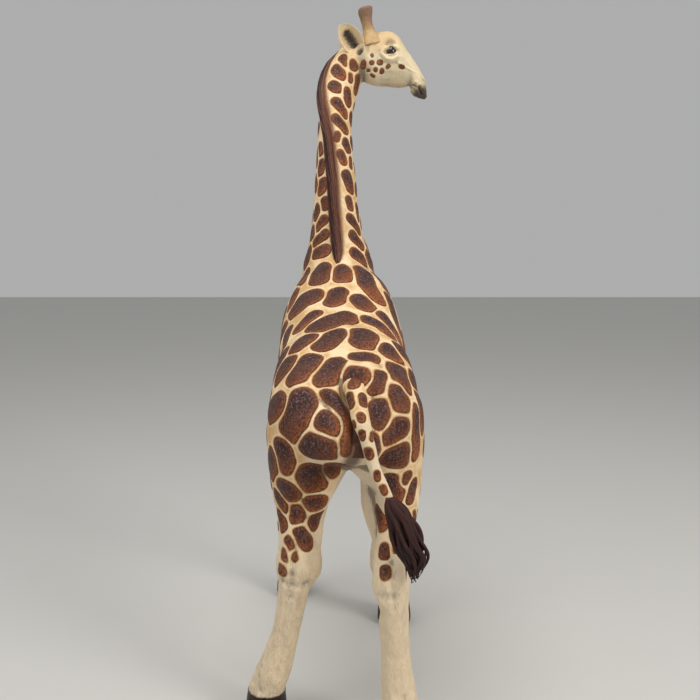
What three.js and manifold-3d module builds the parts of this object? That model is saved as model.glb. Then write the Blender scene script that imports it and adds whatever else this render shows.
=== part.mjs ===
// Walking giraffe statue: hand-painted resin castings around a steel armature.
// Millimetres, +Z up. The giraffe walks along +Y, its right side is +X, and its head is turned to +X.
import * as THREE from 'three';
import { mergeVertices } from 'three/addons/utils/BufferGeometryUtils.js';
import Module from 'manifold-3d';

const wasm = await Module();
wasm.setup();

// ---------------------------------------------------------------- driving sizes

const fit = 0.3; // clearance between any two pieces that touch
const fusedReach = 6; // how far a piece that is cut to fit reaches into its neighbour

const withersHeight = 558; // floor to the top of the shoulders
const backFall = 150; // withers to the top of the buttocks
const trunkLength = 436; // buttocks to chest
const trunkDepth = 208; // withers to breastbone
const trunkHalfWidth = 86;
const rumpShift = 5; // rump to the right of the middle
const trunkSway = 14; // sideways drift of the spine from rump to chest
const rearOverhang = 238; // buttocks behind the middle of the stance

const neckRise = 288; // withers to the middle of the head
const headLength = 108; // back of the skull to the lips, measured level
const headDepth = 78; // crown to jaw at the eyes
const headWidth = 58;
const headAdvance = 90; // middle plane of the head ahead of the withers
const ossiconeHeight = 36;
const ossiconeRadius = 10;
const ossiconeSpacing = 27;
const earLength = 49;
const earHalfWidth = 12;
const eyeRadius = 9;
const eyeSpacing = 46;

const maneHeight = 9;
const maneHalfWidth = 7;

const hindSeamHeight = 285; // where the hind leg castings plug into the body
const foreSeamHeight = 300; // where the fore leg castings plug into the body
const hoofHeight = 27;
const hoofHalfWidth = 27;
const hoofHalfLength = 35;
const hoofCleft = 3.2; // width of the slit between the two toes
const padThickness = 1.5;
const padInset = 5; // pad edge inside the hoof edge

const wall = 12; // shell of the rear body casting
const lipThickness = 4;
const lipLength = 12; // how far the front casting's lip enters the rear casting
const legTenonRadius = 10;
const legTenonLength = 24;
const neckTenonRadius = 17;
const neckTenonLength = 26;
const headTenonRadius = 12;
const headTenonLength = 22;
const legRodRadius = 3;
const neckRodRadius = 4;
const rodOverrun = 18; // rod beyond its tenon, in the next casting
const tailWireRadius = 1.2;

// ---------------------------------------------------------------- places along the trunk

const trunkY = (share) => share * trunkLength - rearOverhang;
const swayX = (share) => rumpShift - share * trunkSway;
const loinSeam = trunkY(0.345);
const hipLine = trunkY(0.25);
const shoulderLine = trunkY(0.78);
const headHeight = withersHeight + neckRise;
const crownHeight = headHeight + 0.6 * headDepth;
const headPlane = shoulderLine + headAdvance;
const soleHeight = padThickness + fit;
const soleTrim = 12; // the leg forms run on below the sole and are trimmed flat

// ---------------------------------------------------------------- solids

function solid(geometry) {
  const bare = new THREE.BufferGeometry();
  bare.setAttribute('position', geometry.getAttribute('position'));
  bare.setIndex(geometry.index);
  const merged = mergeVertices(bare, 1e-4);
  return new wasm.Manifold(
    new wasm.Mesh({
      numProp: 3,
      vertProperties: new Float32Array(merged.getAttribute('position').array),
      triVerts: new Uint32Array(merged.index.array),
    }),
  );
}

const join = (...pieces) => pieces.reduce((whole, piece) => whole.add(piece));
const cut = (whole, ...pieces) => pieces.reduce((rest, piece) => rest.subtract(piece), whole);

/** Curves through stations [x, y, z, half width, half depth, turn in degrees about the vertical]. */
function spine(stations) {
  return {
    centre: new THREE.CatmullRomCurve3(stations.map(([x, y, z]) => new THREE.Vector3(x, y, z))),
    size: new THREE.CatmullRomCurve3(
      stations.map(([, , , across, deep, turn = 0]) => new THREE.Vector3(across, deep, turn)),
    ),
  };
}

const vertical = new THREE.Vector3(0, 0, 1);
const alongX = new THREE.Vector3(1, 0, 0);
const alongY = new THREE.Vector3(0, 1, 0);

const squared = (value, power) => Math.sign(value) * Math.abs(value) ** (2 / power);

/** Closed form whose oval sections follow the stations; grow is added all round, power over 2 squares the oval. */
function loft(stations, { across = alongX, sides = 16, rows = 14, grow = 0, power = 2 } = {}) {
  const { centre, size } = spine(stations);
  const form = new THREE.CylinderGeometry(1, 1, 1, sides, rows);
  const places = form.getAttribute('position');
  const corner = new THREE.Vector3();
  for (let i = 0; i < places.count; i += 1) {
    corner.fromBufferAttribute(places, i);
    const share = 0.5 - corner.y;
    const forward = centre.getTangent(share);
    const section = size.getPoint(share);
    const side = across.clone().applyAxisAngle(vertical, -THREE.MathUtils.degToRad(section.z));
    side.addScaledVector(forward, -side.dot(forward)).normalize();
    const deep = new THREE.Vector3().crossVectors(forward, side);
    const place = centre.getPoint(share);
    place.addScaledVector(side, squared(corner.x, power) * (section.x + grow));
    place.addScaledVector(deep, squared(corner.z, power) * (section.y + grow));
    if (share < 0.001) place.addScaledVector(forward, -grow);
    if (share > 0.999) place.addScaledVector(forward, grow);
    places.setXYZ(i, place.x, place.y, place.z);
  }
  return solid(form);
}

/** Round bar along a smooth curve through the points; grow is added all round and at both ends. */
function bar(points, radius, { steps = 13, grow = 0 } = {}) {
  for (const [end, next] of [points.slice(0, 2), points.slice(-2).reverse()]) {
    end.addScaledVector(end.clone().sub(next).normalize(), grow);
  }
  const section = new THREE.Shape().absarc(0, 0, radius + grow, 0, 2 * Math.PI);
  const path = new THREE.CatmullRomCurve3(points);
  const options = { extrudePath: path, steps, curveSegments: 4, bevelEnabled: false };
  return solid(new THREE.ExtrudeGeometry(section, options));
}

/** Upright round post from one height to another. */
function post(x, y, low, high, radius) {
  const form = new THREE.CylinderGeometry(radius, radius, high - low, 14);
  form.rotateX(Math.PI / 2);
  form.translate(x, y, (low + high) / 2);
  return solid(form);
}

/** Block between two corners; used to trim castings at their seams. */
function block(low, high) {
  const size = high.map((value, axis) => value - low[axis]);
  const form = new THREE.BoxGeometry(...size);
  form.translate(...low.map((value, axis) => value + size[axis] / 2));
  return solid(form);
}

const far = 2000;
const above = (z) => block([-far, -far, z], [far, far, far]);
const below = (z) => block([-far, -far, -far], [far, far, z]);
const behind = (y) => block([-far, -far, -far], [far, y, far]);
const ahead = (y) => block([-far, y, -far], [far, far, far]);

// ---------------------------------------------------------------- trunk

// Share of length, fall of the back, depth and half width, from buttocks to chest.
const trunkSections = [
  [0.0, 0.98, 0.16, 0.24],
  [0.03, 0.88, 0.36, 0.6],
  [0.08, 0.82, 0.46, 0.84],
  [0.16, 0.71, 0.56, 0.98],
  [0.25, 0.59, 0.61, 1.03],
  [0.36, 0.47, 0.65, 0.98],
  [0.48, 0.35, 0.74, 0.97],
  [0.59, 0.22, 0.86, 0.98],
  [0.69, 0.08, 0.97, 0.97],
  [0.78, 0.0, 1.0, 0.92],
  [0.86, 0.09, 0.87, 0.8],
  [0.94, 0.28, 0.61, 0.58],
  [1.0, 0.47, 0.24, 0.26],
];

const trunkStations = trunkSections.map(([share, fall, depth, width]) => {
  const halfDepth = (trunkDepth * depth) / 2;
  const back = withersHeight - backFall * fall;
  return [swayX(share), trunkY(share), back - halfDepth, trunkHalfWidth * width, halfDepth];
});

const trunk = (grow = 0) => loft(trunkStations, { sides: 24, rows: 18, grow, power: 2.5 });

// ---------------------------------------------------------------- neck

// Side shift, shift ahead of the shoulder line, share of the rise, half width, half depth, turn.
const neckStations = [
  [-8, 10, -0.22, 50, 54, 0],
  [-10, 24, -0.09, 51, 63, 0],
  [-10, 33, 0.02, 49, 55, 0],
  [-12, 35, 0.11, 39, 48, 0],
  [-12, 36, 0.21, 35, 42, 3],
  [-13, 37, 0.31, 31, 37.5, 5],
  [-13, 40, 0.41, 29, 34, 8],
  [-14, 44, 0.51, 26, 31.5, 12],
  [-14, 49, 0.61, 24, 29.5, 18],
  [-14, 57, 0.71, 22, 28, 30],
  [-11, 66, 0.81, 21, 27, 52],
  [-4, 77, 0.91, 21, 27, 80],
  [6, 86, 1.0, 22, 26, 90],
  [16, 89, 1.06, 21, 22, 90],
].map(([x, y, share, ...section]) => [x, shoulderLine + y, withersHeight + share * neckRise, ...section]);

const neckSeam = neckStations[2][2] + 12;
const headSeam = neckStations[10][2] + 6;
const neckColumn = (grow = 0) => loft(neckStations, { sides: 16, rows: 20, grow });

/** Point on the middle of the neck at a height. */
function neckCentre(height) {
  const { centre } = spine(neckStations);
  const samples = centre.getPoints(200);
  const gap = (point) => Math.abs(point.z - height);
  return samples.reduce((best, point) => (gap(point) < gap(best) ? point : best));
}

const neckFoot = neckCentre(neckSeam);
const neckTop = neckCentre(headSeam);

// ---------------------------------------------------------------- head

// Level distance from the back of the skull, height, half depth and half width, all as shares.
const headSections = [
  [-0.03, 0.24, 0.24, 0.3],
  [0.1, 0.18, 0.41, 0.46],
  [0.25, 0.13, 0.47, 0.5],
  [0.41, 0.06, 0.47, 0.5],
  [0.56, -0.05, 0.41, 0.43],
  [0.69, -0.18, 0.32, 0.35],
  [0.81, -0.31, 0.26, 0.31],
  [0.9, -0.42, 0.23, 0.32],
  [0.96, -0.5, 0.17, 0.26],
  [0.985, -0.54, 0.08, 0.12],
];
const skullBack = 18;

const headStations = headSections.map(([share, height, depth, width]) => [
  skullBack + headLength * share,
  headPlane,
  headHeight + headDepth * height,
  headWidth * width,
  headDepth * depth,
]);

const skull = (grow = 0) => loft(headStations, { across: alongY, sides: 16, rows: 14, grow });

const eyeCentre = (side) => [skullBack + headLength * 0.47, headPlane + (side * eyeSpacing) / 2, headHeight + 22];

function eyeBall(side, grow = 0) {
  const ball = new THREE.SphereGeometry(eyeRadius + grow, 12, 8);
  ball.rotateX(Math.PI / 2);
  ball.translate(...eyeCentre(side));
  return solid(ball);
}

/** Leaf from the side of the skull up and back to its tip. */
function earLeaf(side, grow = 0) {
  const root = new THREE.Vector3(skullBack + 7, headPlane + side * (headWidth * 0.3), headHeight + 15);
  const reach = new THREE.Vector3(-0.52, side * 0.45, 0.73).setLength(earLength + fusedReach);
  const at = (share) => root.clone().addScaledVector(reach, share);
  const section = (share, across, deep) => [...at(share).toArray(), across, deep];
  const leaf = [
    section(-0.1, 5, 4),
    section(0.12, 6, 5),
    section(0.35, earHalfWidth - 1, 5.5),
    section(0.6, earHalfWidth, 5),
    section(0.85, earHalfWidth * 0.6, 3.5),
    section(1, 1.6, 1.5),
  ];
  return loft(leaf, { sides: 10, rows: 8, grow });
}

/** Blunt horn leaning back from the crown. */
function ossicone(side, grow = 0) {
  const half = (side * ossiconeSpacing) / 2;
  const foot = [skullBack + 20, headPlane + half, crownHeight - fusedReach];
  const lean = 0.34;
  const rise = (height, radius) => [foot[0] - lean * height, foot[1], foot[2] + height, radius, radius];
  const reach = ossiconeHeight + fusedReach;
  const horn = [
    rise(0, ossiconeRadius + 2),
    rise(reach * 0.35, ossiconeRadius + 1),
    rise(reach * 0.7, ossiconeRadius - 0.5),
    rise(reach * 0.9, ossiconeRadius),
    rise(reach * 0.98, ossiconeRadius * 0.75),
    rise(reach, ossiconeRadius * 0.35),
  ];
  return loft(horn, { sides: 12, rows: 8, grow });
}

// ---------------------------------------------------------------- legs

const stifleHeight = withersHeight - 213;
const elbowHeight = withersHeight - 188;

// Height, half width and half depth of each section, from hip to sole.
const hindForm = [
  [withersHeight - 118, 22, 46],
  [withersHeight - 160, 36, 67],
  [stifleHeight, 37, 64],
  [hindSeamHeight, 35, 42],
  [255, 28, 33],
  [207, 24, 26],
  [178, 18.5, 20],
  [122, 16.5, 16],
  [68, 21, 22],
  [46, 21, 22],
  [hoofHeight, hoofHalfWidth - 2.5, hoofHalfLength - 6],
  [soleHeight - soleTrim, hoofHalfWidth, hoofHalfLength],
];

const foreForm = [
  [withersHeight - 66, 22, 30],
  [withersHeight - 138, 28, 44],
  [elbowHeight, 26, 38],
  [foreSeamHeight, 22, 25],
  [262, 19, 21],
  [225, 21, 23],
  [195, 16, 17],
  [148, 14, 14],
  [97, 21, 20],
  [58, 18, 19],
  [hoofHeight, hoofHalfWidth - 2.5, hoofHalfLength - 6],
  [soleHeight - soleTrim, hoofHalfWidth, hoofHalfLength],
];

// Sideways place and place ahead of the hip or shoulder line, section by section.
const legs = {
  left_hind_leg: {
    form: hindForm,
    line: hipLine,
    x: [-34, -53, -54, -51, -52, -54, -60, -70, -86, -94, -97, -98],
    y: [-20, -26, -14, -8, -16, -43, -43, -36, -28, -22, -17, -13],
  },
  right_hind_leg: {
    form: hindForm,
    line: hipLine,
    x: [40, 58, 59, 55, 55, 53, 57, 61, 65, 69, 73, 74],
    y: [-22, -28, -22, -38, -60, -95, -94, -86, -79, -75, -71, -68],
  },
  left_fore_leg: {
    form: foreForm,
    line: shoulderLine,
    x: [-44, -56, -60, -64, -66, -68, -70, -74, -80, -85, -88, -88],
    y: [4, 6, 14, 44, 60, 80, 92, 105, 113, 121, 127, 130],
  },
  right_fore_leg: {
    form: foreForm,
    line: shoulderLine,
    x: [34, 48, 54, 58, 59, 59, 58, 57, 59, 69, 76, 77],
    y: [0, -6, -9, -4, 2, 9, 12, 13, 14, 19, 24, 27],
  },
};

const seamSection = 3;
const hoofSection = 10;

const legStations = ({ form, line, x, y }) =>
  form.map(([height, across, deep], i) => [x[i], line + y[i], height, across, deep]);

const legColumn = (leg, grow = 0) => loft(legStations(leg), { sides: 14, rows: 22, grow });
const seamPoint = (leg) => legStations(leg)[seamSection];
const solePoint = (leg) => legStations(leg).at(-1);

/** Armature rod from inside the hoof, through every bend, and straight up past the tenon. */
function legRod(leg, grow = 0) {
  const bends = legStations(leg).slice(seamSection + 1, hoofSection + 1).reverse();
  const [x, y, seam] = seamPoint(leg);
  const top = seam + legTenonLength + rodOverrun;
  const points = [
    ...bends.map(([bx, by, bz]) => new THREE.Vector3(bx, by, bz)),
    new THREE.Vector3(x, y, seam),
    new THREE.Vector3(x, y, (seam + top) / 2),
    new THREE.Vector3(x, y, top),
  ];
  return bar(points, legRodRadius, { grow });
}

function legTenon(leg, grow = 0) {
  const [x, y, seam] = seamPoint(leg);
  return post(x, y, seam - fit - legTenonRadius, seam + legTenonLength + grow, legTenonRadius + grow);
}

/** Slit between the toes, open at the front and the sole. */
function hoofSlit(leg) {
  const [x, y] = solePoint(leg);
  const front = y + 2 * hoofHalfLength;
  const back = y + hoofHalfLength * 0.25;
  return block([x - hoofCleft / 2, back, -far], [x + hoofCleft / 2, front, hoofHeight - 3]);
}

function legCasting(leg) {
  const lower = legColumn(leg).intersect(below(seamPoint(leg)[2] - fit)).intersect(above(soleHeight));
  return cut(join(lower, legTenon(leg)), legRod(leg, fit), hoofSlit(leg));
}

function hoofPad(leg) {
  const [x, y] = solePoint(leg);
  const outline = new THREE.Shape();
  outline.absellipse(x, y, hoofHalfWidth - padInset, hoofHalfLength - padInset, 0, 2 * Math.PI);
  const options = { depth: padThickness, curveSegments: 10, bevelEnabled: false };
  return solid(new THREE.ExtrudeGeometry(outline, options));
}

// ---------------------------------------------------------------- tail

const tailRoot = [swayX(0) + 8, trunkY(0), withersHeight - backFall];
const tailOffset = ([x, y, z, across, deep]) => [tailRoot[0] + x, tailRoot[1] + y, tailRoot[2] + z, across, deep];

const dockStations = [
  [-2, 44, 20, 13, 12],
  [0, 18, 22, 12, 12],
  [3, 0, 16, 11.5, 11],
  [7, -6, -6, 10, 9],
  [14, -8, -28, 8, 8],
  [21, -10, -56, 7, 7],
  [30, -12, -76, 6.5, 6.5],
  [38, -14, -92, 5.5, 5.5],
].map(tailOffset);

const tuftStations = [
  [34, -13.5, -86, 8, 8],
  [46, -18, -103, 12, 10],
  [54, -23, -123, 14.5, 11],
  [59, -26, -146, 16, 11],
  [62, -27, -166, 12, 9],
  [58, -27, -186, 3, 3],
].map(tailOffset);

const tailDock = (grow = 0) => loft(dockStations, { sides: 12, rows: 13, grow });
const tailTuft = (grow = 0) => loft(tuftStations, { sides: 12, rows: 10, grow });

function tailWire(grow = 0) {
  const inTuft = tuftStations.slice(1, 4);
  const points = [...dockStations.slice(1), ...inTuft].map(([x, y, z]) => new THREE.Vector3(x, y, z));
  return bar(points, tailWireRadius, { steps: 15, grow });
}

// ---------------------------------------------------------------- mane

/** Crest along the back of the neck, from the withers to between the ears. */
function maneBlade() {
  const { centre, size } = spine(neckStations);
  const stations = [];
  for (let share = 0.14; share < 0.96; share += 0.08) {
    const { y: deep, z: turn } = size.getPoint(share);
    const angle = THREE.MathUtils.degToRad(turn);
    const place = centre.getPoint(share);
    place.x -= Math.sin(angle) * deep;
    place.y -= Math.cos(angle) * deep;
    stations.push([...place.toArray(), maneHalfWidth, maneHeight, turn]);
  }
  const crown = headStations[1];
  stations.push([crown[0] - 2, headPlane, crown[2] + crown[4] - 6, maneHalfWidth, maneHeight, 90]);
  stations[0][3] = maneHalfWidth * 0.6;
  stations[0][4] = maneHeight * 0.6;
  return loft(stations, { sides: 10, rows: 20 });
}

// ---------------------------------------------------------------- armature of the neck

function neckRod(grow = 0) {
  const low = neckSeam - neckTenonLength - rodOverrun;
  const high = headSeam + headTenonLength + rodOverrun;
  const bends = [0.2, 0.4, 0.6, 0.8].map((share) => neckCentre(neckSeam + share * (headSeam - neckSeam)));
  const points = [
    new THREE.Vector3(neckFoot.x, neckFoot.y, low),
    new THREE.Vector3(neckFoot.x, neckFoot.y, neckSeam),
    ...bends,
    new THREE.Vector3(neckTop.x, neckTop.y, headSeam),
    new THREE.Vector3(neckTop.x, neckTop.y, high),
  ];
  return bar(points, neckRodRadius, { steps: 16, grow });
}

const neckTenon = (grow = 0) =>
  post(neckFoot.x, neckFoot.y, neckSeam - neckTenonLength - grow, neckSeam + neckTenonRadius, neckTenonRadius + grow);

const headTenon = (grow = 0) =>
  post(neckTop.x, neckTop.y, headSeam - headTenonRadius, headSeam + headTenonLength + grow, headTenonRadius + grow);

// ---------------------------------------------------------------- castings

const hindLegs = [legs.left_hind_leg, legs.right_hind_leg];
const foreLegs = [legs.left_fore_leg, legs.right_fore_leg];
const hindCavityEnd = trunkY(0.15);
const foreCavityEnd = trunkY(0.79);
const frontWall = wall + fit + lipThickness;

function rearBodyCasting() {
  const haunches = hindLegs.map((leg) => legColumn(leg).intersect(above(hindSeamHeight)));
  const outside = join(trunk(), ...haunches).intersect(behind(loinSeam - fit));
  const hollow = trunk(-wall).intersect(ahead(hindCavityEnd));
  const sockets = hindLegs.flatMap((leg) => [legTenon(leg, fit), legRod(leg, fit)]);
  return cut(outside, hollow, ...sockets, tailDock(fit));
}

function frontBodyCasting() {
  const chest = foreLegs.map((leg) => legColumn(leg).intersect(above(foreSeamHeight)));
  const neckBase = neckColumn().intersect(below(neckSeam - fit));
  const outside = join(trunk(), neckBase, ...chest).intersect(ahead(loinSeam));
  const lip = trunk(-wall - fit).intersect(block([-far, loinSeam - lipLength, -far], [far, loinSeam + wall, far]));
  const hollow = trunk(-frontWall).intersect(behind(foreCavityEnd));
  const haunches = hindLegs.map((leg) => legColumn(leg, fit).intersect(above(hindSeamHeight)));
  const sockets = foreLegs.flatMap((leg) => [legTenon(leg, fit), legRod(leg, fit)]);
  return cut(join(cut(outside, ...haunches), lip), hollow, ...sockets, neckTenon(fit), neckRod(fit));
}

function neckCasting() {
  const column = neckColumn().intersect(above(neckSeam)).intersect(below(headSeam - fit));
  return cut(join(column, neckTenon(), headTenon()), neckRod(fit));
}

function headCasting() {
  const nape = neckColumn().intersect(above(headSeam));
  const pockets = [-1, 1].flatMap((side) => [eyeBall(side, fit), earLeaf(side, fit), ossicone(side, fit)]);
  return cut(join(skull(), nape), headTenon(fit), neckRod(fit), ...pockets);
}

const tailTuftCasting = () => cut(tailTuft(), tailDock(fit), tailWire(fit));
const tailDockCasting = () => cut(tailDock(), tailWire(fit));

function maneCasting() {
  const horns = [-1, 1].map((side) => ossicone(side, fit));
  return cut(maneBlade(), trunk(fit), neckColumn(fit), skull(fit), ...horns);
}

// ---------------------------------------------------------------- materials and nodes

const finish = (color, roughness, metalness = 0) => new THREE.MeshStandardMaterial({ color, roughness, metalness });
const patchedPaint = '#8f5330';
const creamPaint = '#d9c39a';

const statue = new THREE.Group();

/** Adds one named piece; its mesh is the solid's own surface. */
function add(name, piece, material) {
  const { vertProperties, triVerts } = piece.getMesh();
  const geometry = new THREE.BufferGeometry();
  geometry.setAttribute('position', new THREE.BufferAttribute(vertProperties, 3));
  geometry.setIndex(new THREE.BufferAttribute(triVerts, 1));
  geometry.computeVertexNormals();
  const mesh = new THREE.Mesh(geometry, material);
  mesh.name = name;
  statue.add(mesh);
}

add('rear_body_casting', rearBodyCasting(), finish(patchedPaint, 0.6));
add('front_body_casting', frontBodyCasting(), finish(patchedPaint, 0.6));
add('neck_casting', neckCasting(), finish(patchedPaint, 0.6));
add('head_casting', headCasting(), finish('#c39a68', 0.55));
add('mane', maneCasting(), finish('#4a2418', 0.6));
add('tail_dock', tailDockCasting(), finish(creamPaint, 0.6));
add('tail_tuft', tailTuftCasting(), finish('#2b1613', 0.5));
add('tail_wire', tailWire(), finish('#8b8d90', 0.4, 0.9));
add('neck_rod', neckRod(), finish('#8b8d90', 0.4, 0.9));

for (const [name, leg] of Object.entries(legs)) {
  add(name, legCasting(leg), finish(creamPaint, 0.6));
  add(name.replace('leg', 'rod'), legRod(leg), finish('#8b8d90', 0.4, 0.9));
  add(name.replace('leg', 'pad'), hoofPad(leg), finish('#3d3a36', 0.95));
}

for (const [name, side] of [['left', 1], ['right', -1]]) {
  add(`${name}_eye`, eyeBall(side), finish('#0c0908', 0.08));
  add(`${name}_ear`, cut(earLeaf(side), ossicone(side, fit)), finish('#d8bf95', 0.6));
  add(`${name}_ossicone`, ossicone(side), finish('#8a6a42', 0.6));
}

const bounds = new THREE.Box3().setFromObject(statue);
const middle = bounds.getCenter(new THREE.Vector3());
statue.position.set(-middle.x, -middle.y, -bounds.min.z);

export default statue;
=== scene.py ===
"""Looks of a walking giraffe statue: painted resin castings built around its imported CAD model."""

import math

import bmesh
import bpy
import numpy as np
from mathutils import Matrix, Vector, noise
from mathutils.bvhtree import BVHTree


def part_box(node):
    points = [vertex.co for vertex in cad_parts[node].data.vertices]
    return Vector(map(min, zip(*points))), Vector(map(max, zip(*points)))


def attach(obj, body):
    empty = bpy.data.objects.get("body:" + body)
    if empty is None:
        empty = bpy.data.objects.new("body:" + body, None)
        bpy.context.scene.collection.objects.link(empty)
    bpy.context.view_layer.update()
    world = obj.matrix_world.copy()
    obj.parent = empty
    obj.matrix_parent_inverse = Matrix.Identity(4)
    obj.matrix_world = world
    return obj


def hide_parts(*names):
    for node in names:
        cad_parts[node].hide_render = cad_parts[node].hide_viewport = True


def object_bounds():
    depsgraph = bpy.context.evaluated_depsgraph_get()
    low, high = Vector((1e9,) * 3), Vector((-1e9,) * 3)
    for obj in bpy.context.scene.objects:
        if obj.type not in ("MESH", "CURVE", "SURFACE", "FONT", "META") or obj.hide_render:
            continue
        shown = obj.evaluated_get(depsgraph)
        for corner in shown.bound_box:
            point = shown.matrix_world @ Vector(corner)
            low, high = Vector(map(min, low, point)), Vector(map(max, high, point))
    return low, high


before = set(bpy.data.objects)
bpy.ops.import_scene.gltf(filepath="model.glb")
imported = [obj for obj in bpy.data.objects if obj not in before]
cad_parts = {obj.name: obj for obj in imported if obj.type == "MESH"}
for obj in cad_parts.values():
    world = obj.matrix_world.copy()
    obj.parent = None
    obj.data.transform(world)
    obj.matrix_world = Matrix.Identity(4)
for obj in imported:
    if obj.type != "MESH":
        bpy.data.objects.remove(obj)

bl_info = {
    "name": "Giraffe statue",
    "version": (1, 0, 0),
    "blender": (4, 5, 0),
    "location": "3D View > Sidebar > Giraffe",
    "description": "Hide, paint and hair of a cast giraffe statue around its CAD frame",
    "category": "Object",
}

CAD_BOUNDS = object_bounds()
MM = 0.001
FAR = 1.0
SEED = 41

# ---------------------------------------------------------------- places read from the frame

LEGS = ("left_hind_leg", "right_hind_leg", "left_fore_leg", "right_fore_leg")
CASTINGS = ("rear_body_casting", "front_body_casting", "neck_casting", "head_casting") + LEGS


def corners_of(node):
    """Lowest and highest corner of a CAD node."""
    low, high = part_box(node)
    return np.array(low), np.array(high)


REAR_LOW, REAR_HIGH = corners_of("rear_body_casting")
FRONT_LOW, FRONT_HIGH = corners_of("front_body_casting")
HEAD_LOW, HEAD_HIGH = corners_of("head_casting")
LOIN_SEAM = REAR_HIGH[1]
HIND_SEAM = REAR_LOW[2]
FORE_SEAM = FRONT_LOW[2]
NECK_SEAM = FRONT_HIGH[2]
HEAD_SEAM = HEAD_LOW[2]
HEAD_PLANE = (HEAD_LOW[1] + HEAD_HIGH[1]) / 2
LEG_PARTING = FRONT_LOW[1] + 0.15      # fore legs ahead of it, hind legs behind

# ---------------------------------------------------------------- where the paint and the forms go
# Places are millimetres in the frame. A chart says how they are read: "rear" and "far" are (x, z)
# looked at from behind and from the front, "back" is (x, y) from above, "left" and "right" are
# (y, z) from those sides, "flanks" is both of them, and "near" is (x, y, z) beside the skin.

# Each patch: chart, its middle line, its reach.
PATCHES = (
    # back, from the withers to the loin
    ("back", ((-6, 60), (-6, 38)), 12), ("back", ((-36, 70), (-38, 42)), 13),
    ("back", ((-68, 0), (-60, 8), (-48, 6)), 17), ("back", ((-60, 98), (-66, 62)), 9),
    ("back", ((22, 72), (28, 34), (42, 12)), 12), ("back", ((42, 98), (56, 66)), 8),
    ("back", ((-12, 2), (-16, -16)), 13), ("back", ((17, -8), (26, -22)), 13),
    ("back", ((-34, -80), (-14, -68), (-1, -64)), 17), ("back", ((26, -60), (42, -64), (57, -76)), 10),
    ("back", ((46, -28), (60, -48), (69, -70)), 9), ("back", ((58, 45), (67, 0), (75, -45)), 8),
    ("back", ((-42, -42), (-60, -64)), 9), ("back", ((-77, -38), (-81, -74)), 9),
    ("back", ((-70, 62), (-77, 32)), 9),
    # rump
    ("back", ((20, -106), (21, -122)), 17), ("back", ((-12, -108), (-27, -128)), 14),
    ("rear", ((-46, 476), (-62, 466)), 12), ("rear", ((-44, 455), (-56, 444)), 15),
    ("rear", ((-12, 453), (-24, 440)), 13), ("rear", ((14, 458), (27, 458)), 11),
    ("rear", ((50, 465), (60, 453)), 12), ("rear", ((38, 443), (34, 433)), 10),
    ("rear", ((60, 430), (63, 416)), 13), ("rear", ((6, 443), (22, 441)), 10),
    ("rear", ((-22, 428), (-10, 418), (-2, 405), (1, 388), (-1, 366)), 7),
    # left thigh
    ("rear", ((-50, 416), (-58, 398), (-62, 388)), 17), ("rear", ((-22, 399), (-15, 395)), 13),
    ("rear", ((-40, 369), (-24, 369)), 16), ("rear", ((-73, 360), (-72, 340)), 13),
    ("rear", ((-12, 345), (-19, 328)), 9), ("rear", ((-42, 330), (-38, 316)), 16),
    ("rear", ((-72, 308), (-66, 300)), 13), ("rear", ((-40, 288), (-34, 288)), 11),
    ("rear", ((-82, 292), (-76, 280)), 9), ("rear", ((-59, 277), (-59, 269)), 9),
    ("rear", ((-40, 260), (-33, 270)), 7), ("rear", ((-80, 268), (-76, 257)), 7),
    ("rear", ((-55, 252), (-49, 242)), 9), ("rear", ((-68, 243), (-66, 236)), 6),
    ("rear", ((-73, 230), (-73, 222)), 4), ("rear", ((-61, 230), (-61, 226)), 4),
    ("rear", ((-77, 214), (-76, 208)), 4),
    # right thigh
    ("rear", ((38, 411), (38, 396)), 11), ("rear", ((61, 390), (49, 380)), 12),
    ("rear", ((80, 402), (81, 378), (79, 355)), 9), ("rear", ((52, 355), (62, 355)), 15),
    ("rear", ((70, 326), (67, 321)), 6), ("rear", ((52, 320), (58, 308)), 11),
    ("rear", ((78, 315), (74, 300)), 6), ("rear", ((36, 282), (41, 273)), 6),
    ("rear", ((44, 251), (43, 245)), 4.5), ("rear", ((43, 231), (43, 227)), 4.5),
    # neck, right of the mane
    ("rear", ((-6, 853), (-3, 846)), 5.5), ("rear", ((6, 846), (9, 840)), 5.5),
    ("rear", ((-14, 838), (-9, 829)), 8), ("rear", ((5, 830), (6, 823)), 4),
    ("rear", ((15, 826), (14, 808)), 5), ("rear", ((-18, 813), (-15, 808)), 8),
    ("rear", ((-1, 805), (2, 789)), 5.5), ("rear", ((-15, 789), (-4, 772)), 6.5),
    ("rear", ((-14, 764), (-3, 748)), 6.5), ("rear", ((-12, 741), (-13, 735)), 4),
    ("rear", ((-2, 730), (2, 721)), 7), ("rear", ((-8, 713), (-4, 703)), 5),
    ("rear", ((5, 707), (6, 697)), 3.5), ("rear", ((0, 682), (6, 664)), 7),
    ("rear", ((3, 648), (6, 636)), 4), ("rear", ((5, 622), (12, 612), (17, 603)), 5),
    ("rear", ((14, 638), (17, 620)), 3.5), ("rear", ((10, 596), (22, 580)), 7),
    ("rear", ((13, 571), (25, 561)), 8),
    # neck, left of the mane
    ("rear", ((-40, 724), (-39, 714)), 4.5), ("rear", ((-38, 700), (-39, 687)), 6),
    ("rear", ((-36, 671), (-38, 662)), 8), ("rear", ((-33, 646), (-33, 638)), 5.5),
    ("rear", ((-43, 634), (-46, 625)), 7), ("rear", ((-34, 619), (-42, 607)), 6),
    ("rear", ((-34, 598), (-46, 585)), 7), ("rear", ((-44, 573), (-34, 575)), 9),
)

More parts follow.
